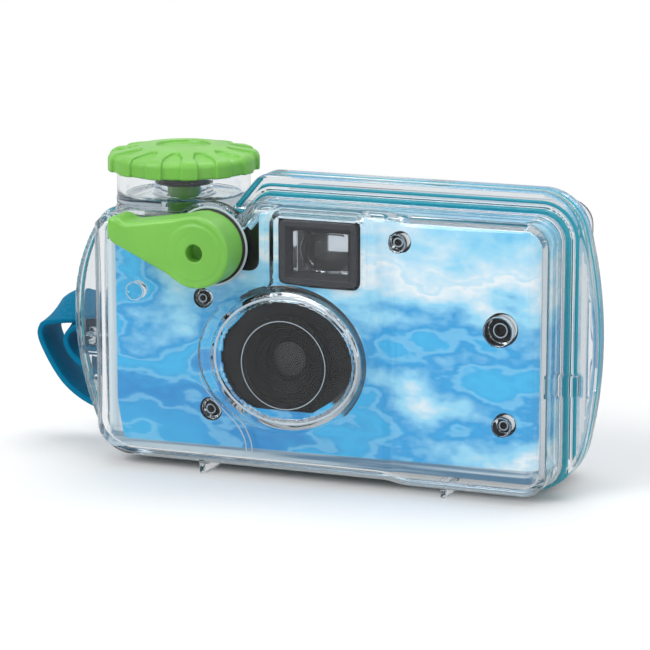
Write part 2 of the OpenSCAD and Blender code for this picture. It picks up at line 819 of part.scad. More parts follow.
module press_arm_screw() {
    placed() color(steel) difference() {
        union() {
            y_rod(lever_x, lever_z, 0.75, arm_y1 - 3.5, arm_y1 + 0.5);
            y_rod(lever_x, lever_z, tail_r + 0.7, arm_y1, arm_y1 + 1.1);
        }
        box(lever_x - 4, lever_x + 4, arm_y1 + 0.6, arm_y1 + 2, lever_z - 0.3, lever_z + 0.3);
    }
}

module lever_return_spring() {
    placed() color(steel) coil(lever_x, lever_z, tail_r + 0.5, coil_wire, panel_in + 0.4, 2);
}

module release_button() {
    placed() color(black) union() {
        z_rod(button_x, button_y, button_r, pocket_z0 + 3.2, button_top);
        z_rod(button_x, button_y, stem_r, pocket_z0 - 4, pocket_z0 + 4);
    }
}

// Shutter.

module shutter_blade() {
    d = [lens_x, lens_z] - blade_pivot;
    u = d / norm(d);
    v = [-u[1], u[0]];
    placed() color(steel) slab(blade_y, blade_y + sheet) difference() {
        union() {
            translate([lens_x, lens_z]) circle(r = 3.6);
            translate(blade_pivot) circle(r = 2);
            polygon([
                blade_pivot + v * 1.6, blade_pivot - v * 1.6,
                [lens_x, lens_z] - v * 2.6, [lens_x, lens_z] + v * 2.6]);
            polygon([
                blade_pivot + v * 1.4, blade_pivot - u * 4.5 + v * 0.8,
                blade_pivot - u * 4.5 - v * 0.8, blade_pivot - v * 1.4]);
        }
        translate(blade_pivot) circle(r = pin_r + run_fit);
    }
}

module shutter_striker() {
    placed() color(steel) slab(striker_y, striker_y + sheet) difference() {
        union() {
            translate(striker_pivot) circle(r = 2.2);
            polygon([
                striker_pivot + [-1.6, 0], striker_pivot + [1.6, 0], striker_pivot + [1.4, 15],
                striker_pivot + [2.6, 17.5], striker_pivot + [-0.6, 17.5]]);
        }
        translate(striker_pivot) circle(r = pin_r + run_fit);
    }
}

module blade_spring() {
    placed() color(steel)
        coil(blade_pivot[0], blade_pivot[1], pin_r + 0.6, coil_wire, blade_y + sheet + 0.2, 2);
}

module striker_spring() {
    placed() color(steel)
        coil(striker_pivot[0], striker_pivot[1], pin_r + 0.6, coil_wire, striker_y + sheet + 0.5, 4);
}

module aperture_plate() {
    placed() color(black) difference() {
        y_rod(lens_x, lens_z, 5, room_y1 - sheet - 0.05, room_y1 - 0.05);
        y_rod(lens_x, lens_z, 1.5, room_y1 - 2, room_y1 + 1);
    }
}

// Lens and finder.

module lens_holder() {
    placed() color(black) translate([lens_x, 0, lens_z]) rotate([-90, 0, 0]) rotate_extrude() polygon([
        [lens_r + 0.1, cam_y0 + 0.9], [lens_r + 1.3, cam_y0 + 0.6], [lens_r + 1.5, cam_y0 - 0.2],
        [holder_r - 3, cam_y0 - 1.3], [holder_r - 2.8, cam_y0 - 1.9], [holder_r - 1.3, cam_y0 - 2.4],
        [holder_r - 1, cam_y0 - 2.7], [holder_r - 0.5, cam_y0 - 2.7], [holder_r, cam_y0 - 2],
        [holder_r, cam_y0 + cover_t], [lens_r - 0.6, cam_y0 + cover_t],
        [lens_r - 0.6, cam_y0 + cover_t - 0.4],
        [lens_r + 0.1, cam_y0 + cover_t - 0.4]]);
}

module lens_element() {
    y0 = cam_y0 + 0.1;
    y1 = cam_y0 + cover_t - 0.45;
    r = lens_r;
    placed() color(lens_tint) translate([lens_x, 0, lens_z]) rotate([-90, 0, 0]) rotate_extrude() polygon([
        [0, y0], [r * 0.35, y0 + 0.07], [r * 0.7, y0 + 0.32], [r, y0 + 0.7], [r, y1], [0, y1]]);
}

module finder_tunnel(gap, y0, y1) {
    box(finder_x0 + finder_rim - gap, finder_x1 - finder_rim + gap, y0, y1,
        finder_z0 + finder_rim - gap, finder_z1 - finder_rim + gap);
}

module finder_bezel() {
    placed() color(black) difference() {
        slab(bezel_y, cam_y0 + cover_t)
            polygon(round_rect(finder_x0, finder_x1, finder_z0, finder_z1, 1.6, 5));
        finder_tunnel(0, bezel_y - 1, cam_y0 + cover_t + 1);
    }
}

module finder_front_lens() {
    placed() color(lens_tint) finder_tunnel(-sit_gap, cam_y0 + 0.6, cam_y0 + cover_t);
}

module finder_eyepiece_lens() {
    placed() color(lens_tint) finder_tunnel(-sit_gap, chassis_y1 - 1.6, chassis_y1);
}

// Inner camera.

module camera_profile(grow, low) {
    x = body_fall_x - 0.3;
    r = cam_edge;
    polygon(concat(
        arc([cam_x1 - r, low + r], r + grow, -90, 0, 4),
        arc([cam_x1 - r, cam_z1 - r], r + grow, 0, 90, 4),
        [[x - grow, cam_z1 + grow], [x - grow - (cam_z1 - shoulder_z) / tan(slope), shoulder_z + grow],
         [step_x - grow, shoulder_z + grow], [step_x - grow, deck_z + grow]],
        arc([cam_x0 + r, deck_z - r], r + grow, 90, 180, 4),
        arc([cam_x0 + r, low + r], r + grow, 180, 270, 4)));
}

module camera_block(y0, y1, grow, low = cam_z0) {
    intersection() {
        slab(y0, y1) camera_profile(grow, low);
        translate([0, 0, cam_z0 - 3]) linear_extrude(height = cam_z1 - cam_z0 + 5)
            polygon(round_rect(
                cam_x0 - grow, cam_x1 + grow, cam_y0 - grow, cam_y1 + grow, cam_corner + grow, 6));
    }
}

module release_pocket(y0) {
    box(button_x - 3.4, pocket_x1, y0, pocket_y1, pocket_z0, cam_z1 + 2);
}

module post_holes(y0, y1) {
    for (p = posts) y_rod(p[0], p[1], p[2] + post_room, y0, y1);
}

module camera_front_cover() {
    placed() color(black) difference() {
        camera_block(cam_y0, cam_y0 + cover_t, 0);
        y_rod(lens_x, lens_z, holder_r + sit_gap, cam_y0 - 1, cam_y0 + cover_t + 1);
        slab(cam_y0 - 1, cam_y0 + cover_t + 1)
            polygon(round_rect(
                finder_x0 - sit_gap, finder_x1 + sit_gap, finder_z0 - sit_gap, finder_z1 + sit_gap, 1.6, 5));
        release_pocket(cam_y0 - 1);
        post_holes(cam_y0 - 1, cam_y0 + cover_t + 1);
    }
}

module camera_rear_cover() {
    placed() color(black) difference() {
        camera_block(cam_y1 - back_t, cam_y1, 0);
        finder_tunnel(0, cam_y1 - 3, cam_y1 + 1);
    }
}

function gate_rect(w, h) = [
    [lens_x - w / 2, lens_z - h / 2], [lens_x + w / 2, lens_z - h / 2],
    [lens_x + w / 2, lens_z + h / 2], [lens_x - w / 2, lens_z + h / 2]];

module film_rooms() {
    z_rod(cart_x, cart_y, cart_r + chamber_gap, can_z0 - sit_gap, can_z1 + sit_gap);
    z_rod(roll_x, roll_y, roll_r + roll_gap, film_z - film_w / 2 - 1.2, film_z + film_w / 2 + 1.2);
    z_rod(roll_x, roll_y, axle_r + run_fit, film_z - film_w / 2 - axle_end - body_gap,
        film_z + film_w / 2 + axle_end + body_gap);
    box(cart_x, roll_x, film_y - 0.4, chassis_y1 + 1, film_z - film_w / 2 - 0.5, film_z + film_w / 2 + 0.5);
    loft([[film_y, gate_rect(gate_w, gate_h)], [room_y1 - 1, gate_rect(7, 6)]]);
    z_rod(cart_x, cart_y, 3 + run_fit, can_z1 - 1, deck_z + 1);
}

module sprocket_rooms() {
    z_rod(sprocket_x, sprocket_y, sprocket_r + 1.2, sprocket_z - 0.4, sprocket_z + sprocket_t + 0.4);
    z_rod(sprocket_x, sprocket_y, axle_r + run_fit, sprocket_z - axle_end - 0.4, cam_disc_z);
    z_rod(sprocket_x, sprocket_y, 2.9, cam_disc_z - 0.9, cam_z1 - 1);
    z_rod(counter_x, counter_y, counter_r + 0.5, counter_z - 0.4, cam_z1 - 1);
    z_rod(counter_x, counter_y, axle_r + run_fit, counter_z - 2.4, counter_z);
    z_rod(counter_x, counter_y, 3 + sit_gap, cam_z1 - 2, cam_z1 + 1);
}

module camera_chassis() {
    placed() color(black) union() {
        difference() {
            camera_block(chassis_y0, chassis_y1, 0);
            film_rooms();
            sprocket_rooms();
            box(lens_x - 17, lens_x + 17, chassis_y0 - 1, room_y1, lens_z - 15, lens_z + 17);
            finder_tunnel(0, chassis_y0 - 1, chassis_y1 + 1);
            release_pocket(chassis_y0 - 1);
            z_rod(button_x, button_y, stem_r + run_fit, pocket_z0 - 8, pocket_z0 + 1);
            bottom_plates(sit_gap);
        }
        y_rod(blade_pivot[0], blade_pivot[1], pin_r, blade_y - 0.3, room_y1 + 0.5);
        y_rod(striker_pivot[0], striker_pivot[1], pin_r, striker_y - 0.2, room_y1 + 0.5);
    }
}

module bottom_plates(gap) {
    for (c = [[cart_x, cart_y], [roll_x, roll_y]])
        z_rod(c[0], c[1], door_r + gap, cam_z0 - gap, can_z0 - sit_gap + gap);
}

module bottom_doors() {
    placed() color(black) bottom_plates(0);
}

// Window in the wrap round the lens: round at the upper right, straight at the left and below.
function lens_field() = concat(
    arc([0.4, -0.9], field_r, -10, 148, 16),
    [[-field_left, 5], [-field_left, -7.9], [2 - field_left, -10.9], [4.6 - field_left, -12.4],
     [6, -12.4], [10.6, -9.4], [14.2, -5.8]]);

module printed_wrap() {
    placed() color(print_blue) difference() {
        camera_block(cam_y0 - wrap_t, cam_y1 + wrap_t, wrap_t);
        camera_block(cam_y0, cam_y1, 0, cam_z0 - 1);
        slab(cam_y0 - 2, cam_y0 + 1) union() {
            translate([lens_x, lens_z]) circle(r = holder_r + 0.3);
            translate([lens_x, lens_z]) polygon(lens_field());
        }
        slab(cam_y0 - 2, cam_y0 + 1)
            polygon(round_rect(finder_x0 - 0.6, finder_x1 + 0.6, finder_z0 - 0.6, finder_z1 + 4, 2, 5));
        slab(cam_y0 - 2, cam_y0 + 1)
            polygon(round_rect(button_x - 3.4, pocket_x1, pocket_z0 + 3.4, cam_z1 + 5, 2.5, 5));
        release_pocket(cam_y0 + 0.5);
        post_holes(cam_y0 - 2, cam_y0 + 1);
        finder_tunnel(0.5, cam_y1 - 1, cam_y1 + 2);
        z_rod(counter_x, counter_y, 3.2, cam_z1 - 1, cam_z1 + 2);
        z_rod(cart_x, cart_y, 3.4, deck_z - 1, deck_z + 2);
        box(cart_x + wheel_r, step_x - 0.5, cart_y - 2, cart_y + 10, deck_z - 1, deck_z + 2);
    }
}

module wrist_strap() {
    m = len(strap_knots) * strap_steps;
    pts = [for (k = [0:m - 1]) each strap_section(k / strap_steps)];
    sides = [for (k = [0:m - 1]) for (i = [0:3]) let (q = (k + 1) % m, j = (i + 1) % 4) each [
        [k * 4 + i, q * 4 + i, q * 4 + j],
        [k * 4 + i, q * 4 + j, k * 4 + j]]];
    placed() color(strap_teal) polyhedron(points = pts, faces = sides, convexity = 6);
}

// Middle line of the strap, as share of its reach and height: out over the upper lug's bar,
// round the bow, back under the lower bar, up through that lug and out again to the upper one.
strap_low = lug_low + lug_h / 2;
strap_high = lug_high + lug_h / 2;
strap_knots = [
    [0, strap_high], [0.043, strap_high + 3.6], [0.203, strap_high + 5.2], [0.492, strap_high + 5.4],
    [0.845, strap_high + 3.2], [1, strap_high - 1], [0.9, strap_low + 6.6], [0.68, strap_low + 0.4],
    [0.428, strap_low - 3.4], [0.16, strap_low - 5.4], [0.02, strap_low - 4], [0, strap_low - 0.4],
    [0.075, strap_low + 3.4], [0.27, strap_low + 3.8], [0.45, strap_low + 5.2], [0.59, strap_low + 8.4],
    [0.6, strap_high - 1.6], [0.43, strap_high - 0.7], [0.203, strap_high - 2.8],
    [0.043, strap_high - 3.2]];
strap_steps = 4;
strap_turn = [[0, 0], [1.4, 0], [2, 10], [3, 42], [4, 22], [4.6, 2], [5, 0], [20, 0]];
function strap_knot(i) =
    let (n = len(strap_knots), k = strap_knots[(i + n) % n]) [strap_x - k[0] * strap_reach, k[1]];
function strap_point(t) =
    let (i = floor(t), u = t - i, a = strap_knot(i - 1), b = strap_knot(i), c = strap_knot(i + 1),
         d = strap_knot(i + 2))
    b + u * (c - a) / 2 + u * u * (2 * a - 5 * b + 4 * c - d) / 2 + u * u * u * (3 * b - a - 3 * c + d) / 2;
function strap_section(t) =
    let (e = strap_point(t + 0.02) - strap_point(t - 0.02 + len(strap_knots)), n = [e[1], -e[0]] / norm(e),
         a = lookup(t, strap_turn), p = strap_point(t), y = strap_y0 + strap_w / 2)
    [for (c = [[1, 1], [-1, 1], [-1, -1], [1, -1]])
        let (w = c[0] * strap_w / 2, h = c[1] * strap_t / 2, q = w * sin(a) + h * cos(a))
        [p[0] + q * n[0], y + w * cos(a) - h * sin(a), p[1] + q * n[1]]];

front_shell();
rear_shell();
perimeter_gasket();
knob_seal_ring();
advance_knob();
knob_clip();
wind_wheel();
cartridge_spool();
cartridge_can();
cartridge_end_caps();
film_strip();
film_roll();
supply_core();
sprocket_shaft();
counter_disc();
counter_window();
ratchet_pawl();
lever_seal_ring();
shutter_lever();
press_arm();
press_arm_screw();
lever_return_spring();
release_button();
shutter_blade();
shutter_striker();
blade_spring();
striker_spring();
aperture_plate();
lens_holder();
lens_element();
finder_bezel();
finder_front_lens();
finder_eyepiece_lens();
camera_front_cover();
camera_rear_cover();
camera_chassis();
bottom_doors();
printed_wrap();
wrist_strap();
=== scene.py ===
"""Looks of a waterproof single-use film camera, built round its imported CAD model.

Sizes are in millimetres in the working frame of the construction: X to the right seen
from the front, Y to the back with 0 at the housing's parting plane, Z up from the table.
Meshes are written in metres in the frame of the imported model.
"""

import logging
import math
from dataclasses import dataclass, field
from enum import Enum
from typing import Callable, Sequence

import bpy
import numpy as np
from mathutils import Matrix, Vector


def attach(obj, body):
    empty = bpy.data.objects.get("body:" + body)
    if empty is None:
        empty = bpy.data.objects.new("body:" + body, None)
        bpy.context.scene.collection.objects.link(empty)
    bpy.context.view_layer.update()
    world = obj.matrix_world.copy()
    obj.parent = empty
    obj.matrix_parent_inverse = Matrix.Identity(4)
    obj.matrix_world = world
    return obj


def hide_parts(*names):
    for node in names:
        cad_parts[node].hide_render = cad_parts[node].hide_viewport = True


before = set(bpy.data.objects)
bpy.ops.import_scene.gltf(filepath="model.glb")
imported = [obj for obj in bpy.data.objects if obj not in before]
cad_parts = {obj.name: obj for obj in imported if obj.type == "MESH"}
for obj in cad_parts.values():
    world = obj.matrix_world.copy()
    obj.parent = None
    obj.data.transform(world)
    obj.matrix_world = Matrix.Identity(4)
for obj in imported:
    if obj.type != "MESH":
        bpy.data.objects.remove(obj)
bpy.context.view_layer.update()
LOG = logging.getLogger("film_camera")

MM = 0.001
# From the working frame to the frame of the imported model.
SHIFT = np.array([7.75, -1.45, 0.0])
# A length that counts as none, and one that is longer than any in the object.
TINY = 1e-6
FAR = 1e6
# Keeps quotients finite.
LEAST = 1e-9
# Half the distance between the samples of a slope, for the pull of a net and for its normals.
PULL_REACH = 0.01
NORMAL_REACH = 0.03
# Sides of the thin round wires and rods.
WIRE_SIDES = 8
# Height of the finest grain, in metres.
GRAIN_HEIGHT = 0.0001
# Most of a noise texture's values lie between these.
NOISE_RANGE = (0.3, 0.7)
WHITE = (1.0, 1.0, 1.0, 1.0)
Grid = np.ndarray
Distance = np.ndarray
Field = Callable[[Grid, Grid, Grid], Distance]
Outline = Callable[[Grid, Grid], Distance]
Colour = tuple[float, float, float, float]
Socket = bpy.types.NodeSocket
Material = bpy.types.Material
Piece = bpy.types.Object


class Body(Enum):
    """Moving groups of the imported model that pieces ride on."""

    HOUSING = "housing"
    KNOB = "knob"
    LEVER = "lever"


class Slot(Enum):
    """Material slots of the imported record."""

    CLEAR = "clear_housing"
    SEAL = "seal_teal"
    STRAP = "strap_teal"
    GREEN = "green_plastic"
    BLACK = "black_plastic"
    BLACK_RUBBER = "black_rubber"
    PRINT = "print"
    OPTIC = "optic"
    STEEL = "steel"
    CAN = "can"
    FILM = "film"
    COUNTER = "counter"


def srgb(red: int, green: int, blue: int) -> Colour:
    """Turns screen values into a linear colour.

    Args:
        red: Red from 0 to 255.
        green: Green from 0 to 255.
        blue: Blue from 0 to 255.

    Returns:
        The linear colour with full alpha.
    """
    linear = [
        c / 12.92 if c <= 0.04045 else ((c + 0.055) / 1.055) ** 2.4
        for c in (red / 255, green / 255, blue / 255)
    ]
    return (linear[0], linear[1], linear[2], 1.0)


# Distance fields: negative inside, in millimetres.


def join(a: Distance, b: Distance, fillet: float = 0.0) -> Distance:
    """Unites two fields with a round fillet in the corner between them.

    Args:
        a: First field.
        b: Second field.
        fillet: Radius of the fillet.

    Returns:
        The united field.
    """
    if fillet <= 0:
        return np.minimum(a, b)
    u = np.maximum(fillet - a, 0)
    v = np.maximum(fillet - b, 0)
    return np.maximum(fillet, np.minimum(a, b)) - np.hypot(u, v)


def meet(a: Distance, b: Distance, fillet: float = 0.0) -> Distance:
    """Intersects two fields and rounds the edge between them.

    Args:
        a: First field.
        b: Second field.
        fillet: Radius of the rounded edge.

    Returns:
        The intersected field.
    """
    if fillet <= 0:
        return np.maximum(a, b)
    u = np.maximum(fillet + a, 0)
    v = np.maximum(fillet + b, 0)
    return np.minimum(-fillet, np.maximum(a, b)) + np.hypot(u, v)


def cut(a: Distance, b: Distance, fillet: float = 0.0) -> Distance:
    """Takes the second field out of the first, as meet() does with its outside."""
    return meet(a, -b, fillet)


def span(v: Grid, low: float, high: float) -> Distance:
    """Distance from the slab between low and high along one axis."""
    return np.abs(v - (low + high) / 2) - (high - low) / 2


def rounded_rect(
    u: Grid, v: Grid, u0: float, u1: float, v0: float, v1: float, r: float
) -> Distance:
    """Distance from a rectangle with round corners.

    Args:
        u: First coordinate.
        v: Second coordinate.
        u0: Low end of the first side.
        u1: High end of the first side.
        v0: Low end of the second side.
        v1: High end of the second side.
        r: Corner radius.

    Returns:
        The distance.
    """
    p = span(u, u0, u1) + r
    q = span(v, v0, v1) + r
    return np.minimum(np.maximum(p, q), 0) + np.hypot(np.maximum(p, 0), np.maximum(q, 0)) - r


def oval_distance(u: Grid, v: Grid, a: np.ndarray, b: np.ndarray) -> Distance:
    """First-order distance from an oval about the origin.

    Args:
        u: First coordinate.
        v: Second coordinate.
        a: Half width.
        b: Half height.

    Returns:
        The distance.
    """
    size = np.hypot(u / a, v / b)
    slope = np.hypot(u / (a * a), v / (b * b))
    return size * (size - 1) / np.maximum(slope, TINY)


def step_up(v: Grid, low: float, high: float) -> np.ndarray:
    """Smooth step from 0 at low to 1 at high."""
    t = np.clip((v - low) / (high - low), 0, 1)
    return t * t * (3 - 2 * t)


def arc(centre: Sequence[float], r: float, start: float, end: float, count: int = 14) -> np.ndarray:
    """Points along an arc.

    Args:
        centre: Centre of the arc.
        r: Radius.
        start: First angle in degrees.
        end: Last angle in degrees.
        count: Number of steps.

    Returns:
        The points, one per row.
    """
    a = np.radians(np.linspace(start, end, count + 1))
    return np.column_stack([centre[0] + r * np.cos(a), centre[1] + r * np.sin(a)])


def soften(points: Sequence[Sequence[float]], size: float, most: float = 0.45, steps: int = 6) -> np.ndarray:
    """Rounds the corners of a closed outline.

    Args:
        points: Corners of the outline.
        size: How far from each corner its round starts.
        most: Largest share of a side that a round may take.
        steps: Number of points on each round.

    Returns:
        The rounded outline.
    """
    p = np.array(points, float)
    before, after = np.roll(p, 1, axis=0) - p, np.roll(p, -1, axis=0) - p
    rounds = []
    for corner, a, b in zip(p, before, after):
        start = corner + a * min(size / np.hypot(*a), most)
        end = corner + b * min(size / np.hypot(*b), most)
        for t in np.linspace(0, 1, steps):
            rounds.append((1 - t) ** 2 * start + 2 * t * (1 - t) * corner + t * t * end)
    return np.array(rounds)


def spline(a: np.ndarray, b: np.ndarray, c: np.ndarray, d: np.ndarray, u: Grid | float) -> np.ndarray:
    """Points of a smooth curve between the second and the third of four knots.

    Args:
        a: Knot before the stretch.
        b: Start of the stretch.
        c: End of the stretch.
        d: Knot after the stretch.
        u: Place on the stretch, from 0 to 1.

    Returns:
        The points.
    """
    bend = 2 * a - 5 * b + 4 * c - d
    return b + u * (c - a) / 2 + u**2 * bend / 2 + u**3 * (3 * b - a - 3 * c + d) / 2


def outline_field(points: np.ndarray) -> Outline:
    """Makes the signed distance function of a closed outline.

    Args:
        points: The outline's points in order.

    Returns:
        A function of two coordinates.
    """
    gap = np.hypot(*(points - np.roll(points, 1, axis=0)).T)
    points = points[gap > TINY]
    ends = np.roll(points, -1, axis=0)

    def distance(u: Grid, v: Grid) -> Distance:
        """Distance from the outline, negative inside.

        Args:
            u: First coordinate.
            v: Second coordinate.

        Returns:
            The distance.
        """
        u, v = np.broadcast_arrays(u, v)
        best = np.full(u.shape, FAR**2)
        inside = np.zeros(u.shape, bool)
        for (au, av), (bu, bv) in zip(points, ends):
            eu, ev = bu - au, bv - av
            du, dv = u - au, v - av
            t = np.clip((du * eu + dv * ev) / (eu * eu + ev * ev), 0, 1)
            best = np.minimum(best, (du - t * eu) ** 2 + (dv - t * ev) ** 2)
            if ev:
                inside ^= ((av > v) != (bv > v)) & (du < dv * eu / ev)
        return np.where(inside, -1.0, 1.0) * np.sqrt(best)

    return distance


@dataclass(frozen=True)
class Arc:
    """Arc of an outline that runs against the clock, or with it where the outline is hollow."""

    centre: tuple[float, float]
    r: float
    start: float
    end: float

    def at(self, angle: float) -> np.ndarray:
        """Returns the point at an angle in degrees."""
        a = math.radians(angle)
        return np.array([self.centre[0] + self.r * math.cos(a), self.centre[1] + self.r * math.sin(a)])


def smooth_outline_field(arcs: Sequence[Arc]) -> Outline:
    """Makes the exact distance function of arcs that straight lines join without a corner.

    Args:
        arcs: The arcs in order round the outline.

    Returns:
        A function of two coordinates.
    """
    lines = []
    for one, other in zip(arcs, [*arcs[1:], arcs[0]]):
        start, end = one.at(one.end), other.at(other.start)
        if np.hypot(*(end - start)) > 100 * TINY:
            lines.append((start, end))

    def distance(u: Grid, v: Grid) -> Distance:
        """Distance from the outline, negative inside.

        Args:
            u: First coordinate.
            v: Second coordinate.

        Returns:
            The distance.
        """
        u, v = np.broadcast_arrays(u, v)
        best = np.full(u.shape, FAR)
        for one in arcs:
            du, dv = u - one.centre[0], v - one.centre[1]
            rho = np.hypot(du, dv)
            mid, half = math.radians((one.start + one.end) / 2), math.radians(abs(one.end - one.start) / 2)
            within = du * math.cos(mid) + dv * math.sin(mid) >= (math.cos(half) - LEAST) * rho
            side = (rho - one.r) if one.end > one.start else (one.r - rho)
            best = np.where(within & (np.abs(side) < np.abs(best)), side, best)
        for start, end in lines:
            along = (end - start) / np.hypot(*(end - start))
            du, dv = u - start[0], v - start[1]
            t = du * along[0] + dv * along[1]
            side = du * along[1] - dv * along[0]
            within = (t >= -TINY) & (t <= np.hypot(*(end - start)) + TINY)
            best = np.where(within & (np.abs(side) < np.abs(best)), side, best)
        return best

    return distance


# Meshes.


@dataclass
class Skin:
    """A mesh in millimetres of the working frame, with a normal at each point."""

    points: np.ndarray
    faces: np.ndarray
    normals: np.ndarray | None = None


def gradient(shape: Field, points: np.ndarray, reach: float) -> np.ndarray:
    """Slope of a field at some points.

    Args:
        shape: The field.
        points: The points, one per row.
        reach: Half the distance between the two samples on each axis.

    Returns:
        The slope at each point.
    """
    x, y, z = points.T
    return np.column_stack(
        [
            shape(x + reach, y, z) - shape(x - reach, y, z),
            shape(x, y + reach, z) - shape(x, y - reach, z),
            shape(x, y, z + reach) - shape(x, y, z - reach),
        ]
    ) / (2 * reach)


def skin_field(
    shape: Field,
    low: Sequence[float],
    high: Sequence[float],
    step: float,
    pulls: int = 4,
    longest_pull: float = 0.6,
    least_slope: float = 0.05,
) -> Skin:
    """Draws a net over the zero surface of a field and pulls it onto that surface.

    Args:
        shape: The field.
        low: Lowest corner of the region.
        high: Highest corner of the region.
        step: Spacing of the net.
        pulls: How often the net is pulled.
        longest_pull: Longest way of a pull, in steps.
        least_slope: Slope squared below which a pull gets no longer.

    Returns:
        The mesh with its normals.
    """
    axes = [np.arange(a - 1.5 * step, b + 2.5 * step, step) for a, b in zip(low, high)]
    size = tuple(len(a) for a in axes)
    x, y, z = np.ix_(*axes)
    inside = np.broadcast_to(shape(x, y, z), size) < 0
    corners = [
        inside[i : size[0] - 1 + i, j : size[1] - 1 + j, k : size[2] - 1 + k]
        for i in (0, 1)
        for j in (0, 1)
        for k in (0, 1)
    ]
    count = np.sum(corners, axis=0)
    active = (count > 0) & (count < 8)
    index = np.full(active.shape, -1)
    index[active] = np.arange(np.count_nonzero(active))
    cells = np.argwhere(active)
    points = np.array([a[0] for a in axes]) + (cells + 0.5) * step
    for _ in range(pulls):
        value = shape(*points.T)
        slope = gradient(shape, points, PULL_REACH)
        move = -value[:, None] * slope / np.maximum(np.sum(slope**2, axis=1), least_slope)[:, None]
        length = np.linalg.norm(move, axis=1)[:, None]
        points = points + move * np.minimum(1, longest_pull * step / np.maximum(length, LEAST))
    quads = []
    for axis in range(3):
        u, v = (axis + 1) % 3, (axis + 2) % 3
        lower = np.take(inside, np.arange(size[axis] - 1), axis=axis)
        upper = np.take(inside, np.arange(1, size[axis]), axis=axis)
        edges = np.argwhere(lower != upper)
        edges = edges[
            (edges[:, u] > 0)
            & (edges[:, v] > 0)
            & (edges[:, u] < size[u] - 1)
            & (edges[:, v] < size[v] - 1)
        ]
        outward = lower[tuple(edges.T)]
        ring = []
        for du, dv in ((1, 1), (0, 1), (0, 0), (1, 0)):
            cell = edges.copy()
            cell[:, u] -= du
            cell[:, v] -= dv
            ring.append(index[tuple(cell.T)])
        quad = np.column_stack(ring)
        quad[~outward] = quad[~outward][:, ::-1]
        quads.append(quad)
    normals = gradient(shape, points, NORMAL_REACH)
    normals /= np.maximum(np.linalg.norm(normals, axis=1), LEAST)[:, None]
    return Skin(points, np.concatenate(quads), normals)


def loft(rings: np.ndarray, closed: bool) -> Skin:
    """Joins a row of rings of points into one skin.

    Args:
        rings: The points, by ring and place on the ring.
        closed: Whether the last ring joins the first.

    Returns:
        The skin.
    """
    n, m = rings.shape[:2]
    i, j = np.meshgrid(np.arange(n if closed else n - 1), np.arange(m), indexing="ij")
    k, q = (i + 1) % n, (j + 1) % m
    faces = np.stack([i * m + j, i * m + q, k * m + q, k * m + j], axis=-1).reshape(-1, 4)
    return Skin(rings.reshape(-1, 3), faces)


def turned(
    centre: Sequence[float], section: Sequence[Sequence[float]], height: float | None = None, count: int = 96
) -> Skin:
    """Turns a section about an axis that runs from front to back.

    Args:
        centre: The axis, as X and Z.
        section: The closed section, as radius and depth.
        height: Half height of the ring where it is an oval.
        count: Number of steps round.

    Returns:
        The ring.
    """
    turn = np.arange(count) * math.tau / count
    middle = sum(r for r, _ in section) / len(section)
    squeeze = 0 if height is None else height - middle
    rings = [
        np.column_stack(
            [centre[0] + r * np.cos(turn), np.full(count, y), centre[1] + (r + squeeze) * np.sin(turn)]
        )
        for r, y in section
    ]
    return loft(np.stack(rings, axis=1), True)


def wire(r: float, y: float, thick: float) -> list[tuple[float, float]]:
    """Returns the round section of a wire ring, as radius and depth."""
    turn = [math.tau * i / WIRE_SIDES for i in range(WIRE_SIDES)]
    return [(r + thick * math.cos(a), y + thick * math.sin(a)) for a in turn]


def rod(points: Sequence[Sequence[float]], r: float, steps: int = 8) -> Skin:
    """Lays a thin round rod on a smooth path across the front.

    Args:
        points: Points of the path.
        r: Radius of the rod.
        steps: Number of steps between two points.

    Returns:
        The rod.
    """
    p = np.array(points, float)
    p = np.concatenate([[2 * p[0] - p[1]], p, [2 * p[-1] - p[-2]]])
    path = [spline(*knots, u) for knots in zip(p, p[1:], p[2:], p[3:]) for u in np.arange(steps) / steps]
    path = np.array([*path, p[-2]])
    along = np.gradient(path, axis=0)
    across = np.column_stack([along[:, 2], np.zeros(len(path)), -along[:, 0]])
    across /= np.linalg.norm(across, axis=1)[:, None]
    turn = np.arange(WIRE_SIDES) * math.tau / WIRE_SIDES
    sideways = across[:, None, :] * np.cos(turn)[None, :, None]
    offset = sideways + np.array([0, 1, 0]) * np.sin(turn)[None, :, None]
    return loft(path[:, None, :] + r * offset, False)


def put_in_scene(name: str, data: bpy.types.ID) -> Piece:
    """Makes an object of a mesh, a lamp or a camera and puts it in the scene."""
    thing = bpy.data.objects.new(name, data)
    bpy.context.scene.collection.objects.link(thing)
    return thing


def make_piece(name: str, skin: Skin, body: Body, replaces: Sequence[str] = ()) -> Piece:
    """Turns a mesh into a piece of the object.

    Args:
        name: Name of the piece.
        skin: Its mesh in the working frame.
        body: The body that it rides on.
        replaces: CAD nodes that it stands for.

    Returns:
        The new object.
    """
    mesh = bpy.data.meshes.new(name)
    mesh.from_pydata(((skin.points + SHIFT) * MM).tolist(), [], skin.faces.tolist())
    mesh.polygons.foreach_set("use_smooth", np.ones(len(mesh.polygons), bool))
    mesh.update()
    if skin.normals is not None:
        mesh.normals_split_custom_set_from_vertices(skin.normals.tolist())
    piece = put_in_scene(name, mesh)
    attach(piece, body.value)
    if replaces:
        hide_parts(*replaces)
    LOG.info("%s: %d points, rides on %s", name, len(mesh.vertices), body.value)
    return piece


def dress(piece: Piece, material: Material) -> None:
    """Gives a piece one material."""
    piece.data.materials.clear()
    piece.data.materials.append(material)


# Shader trees.


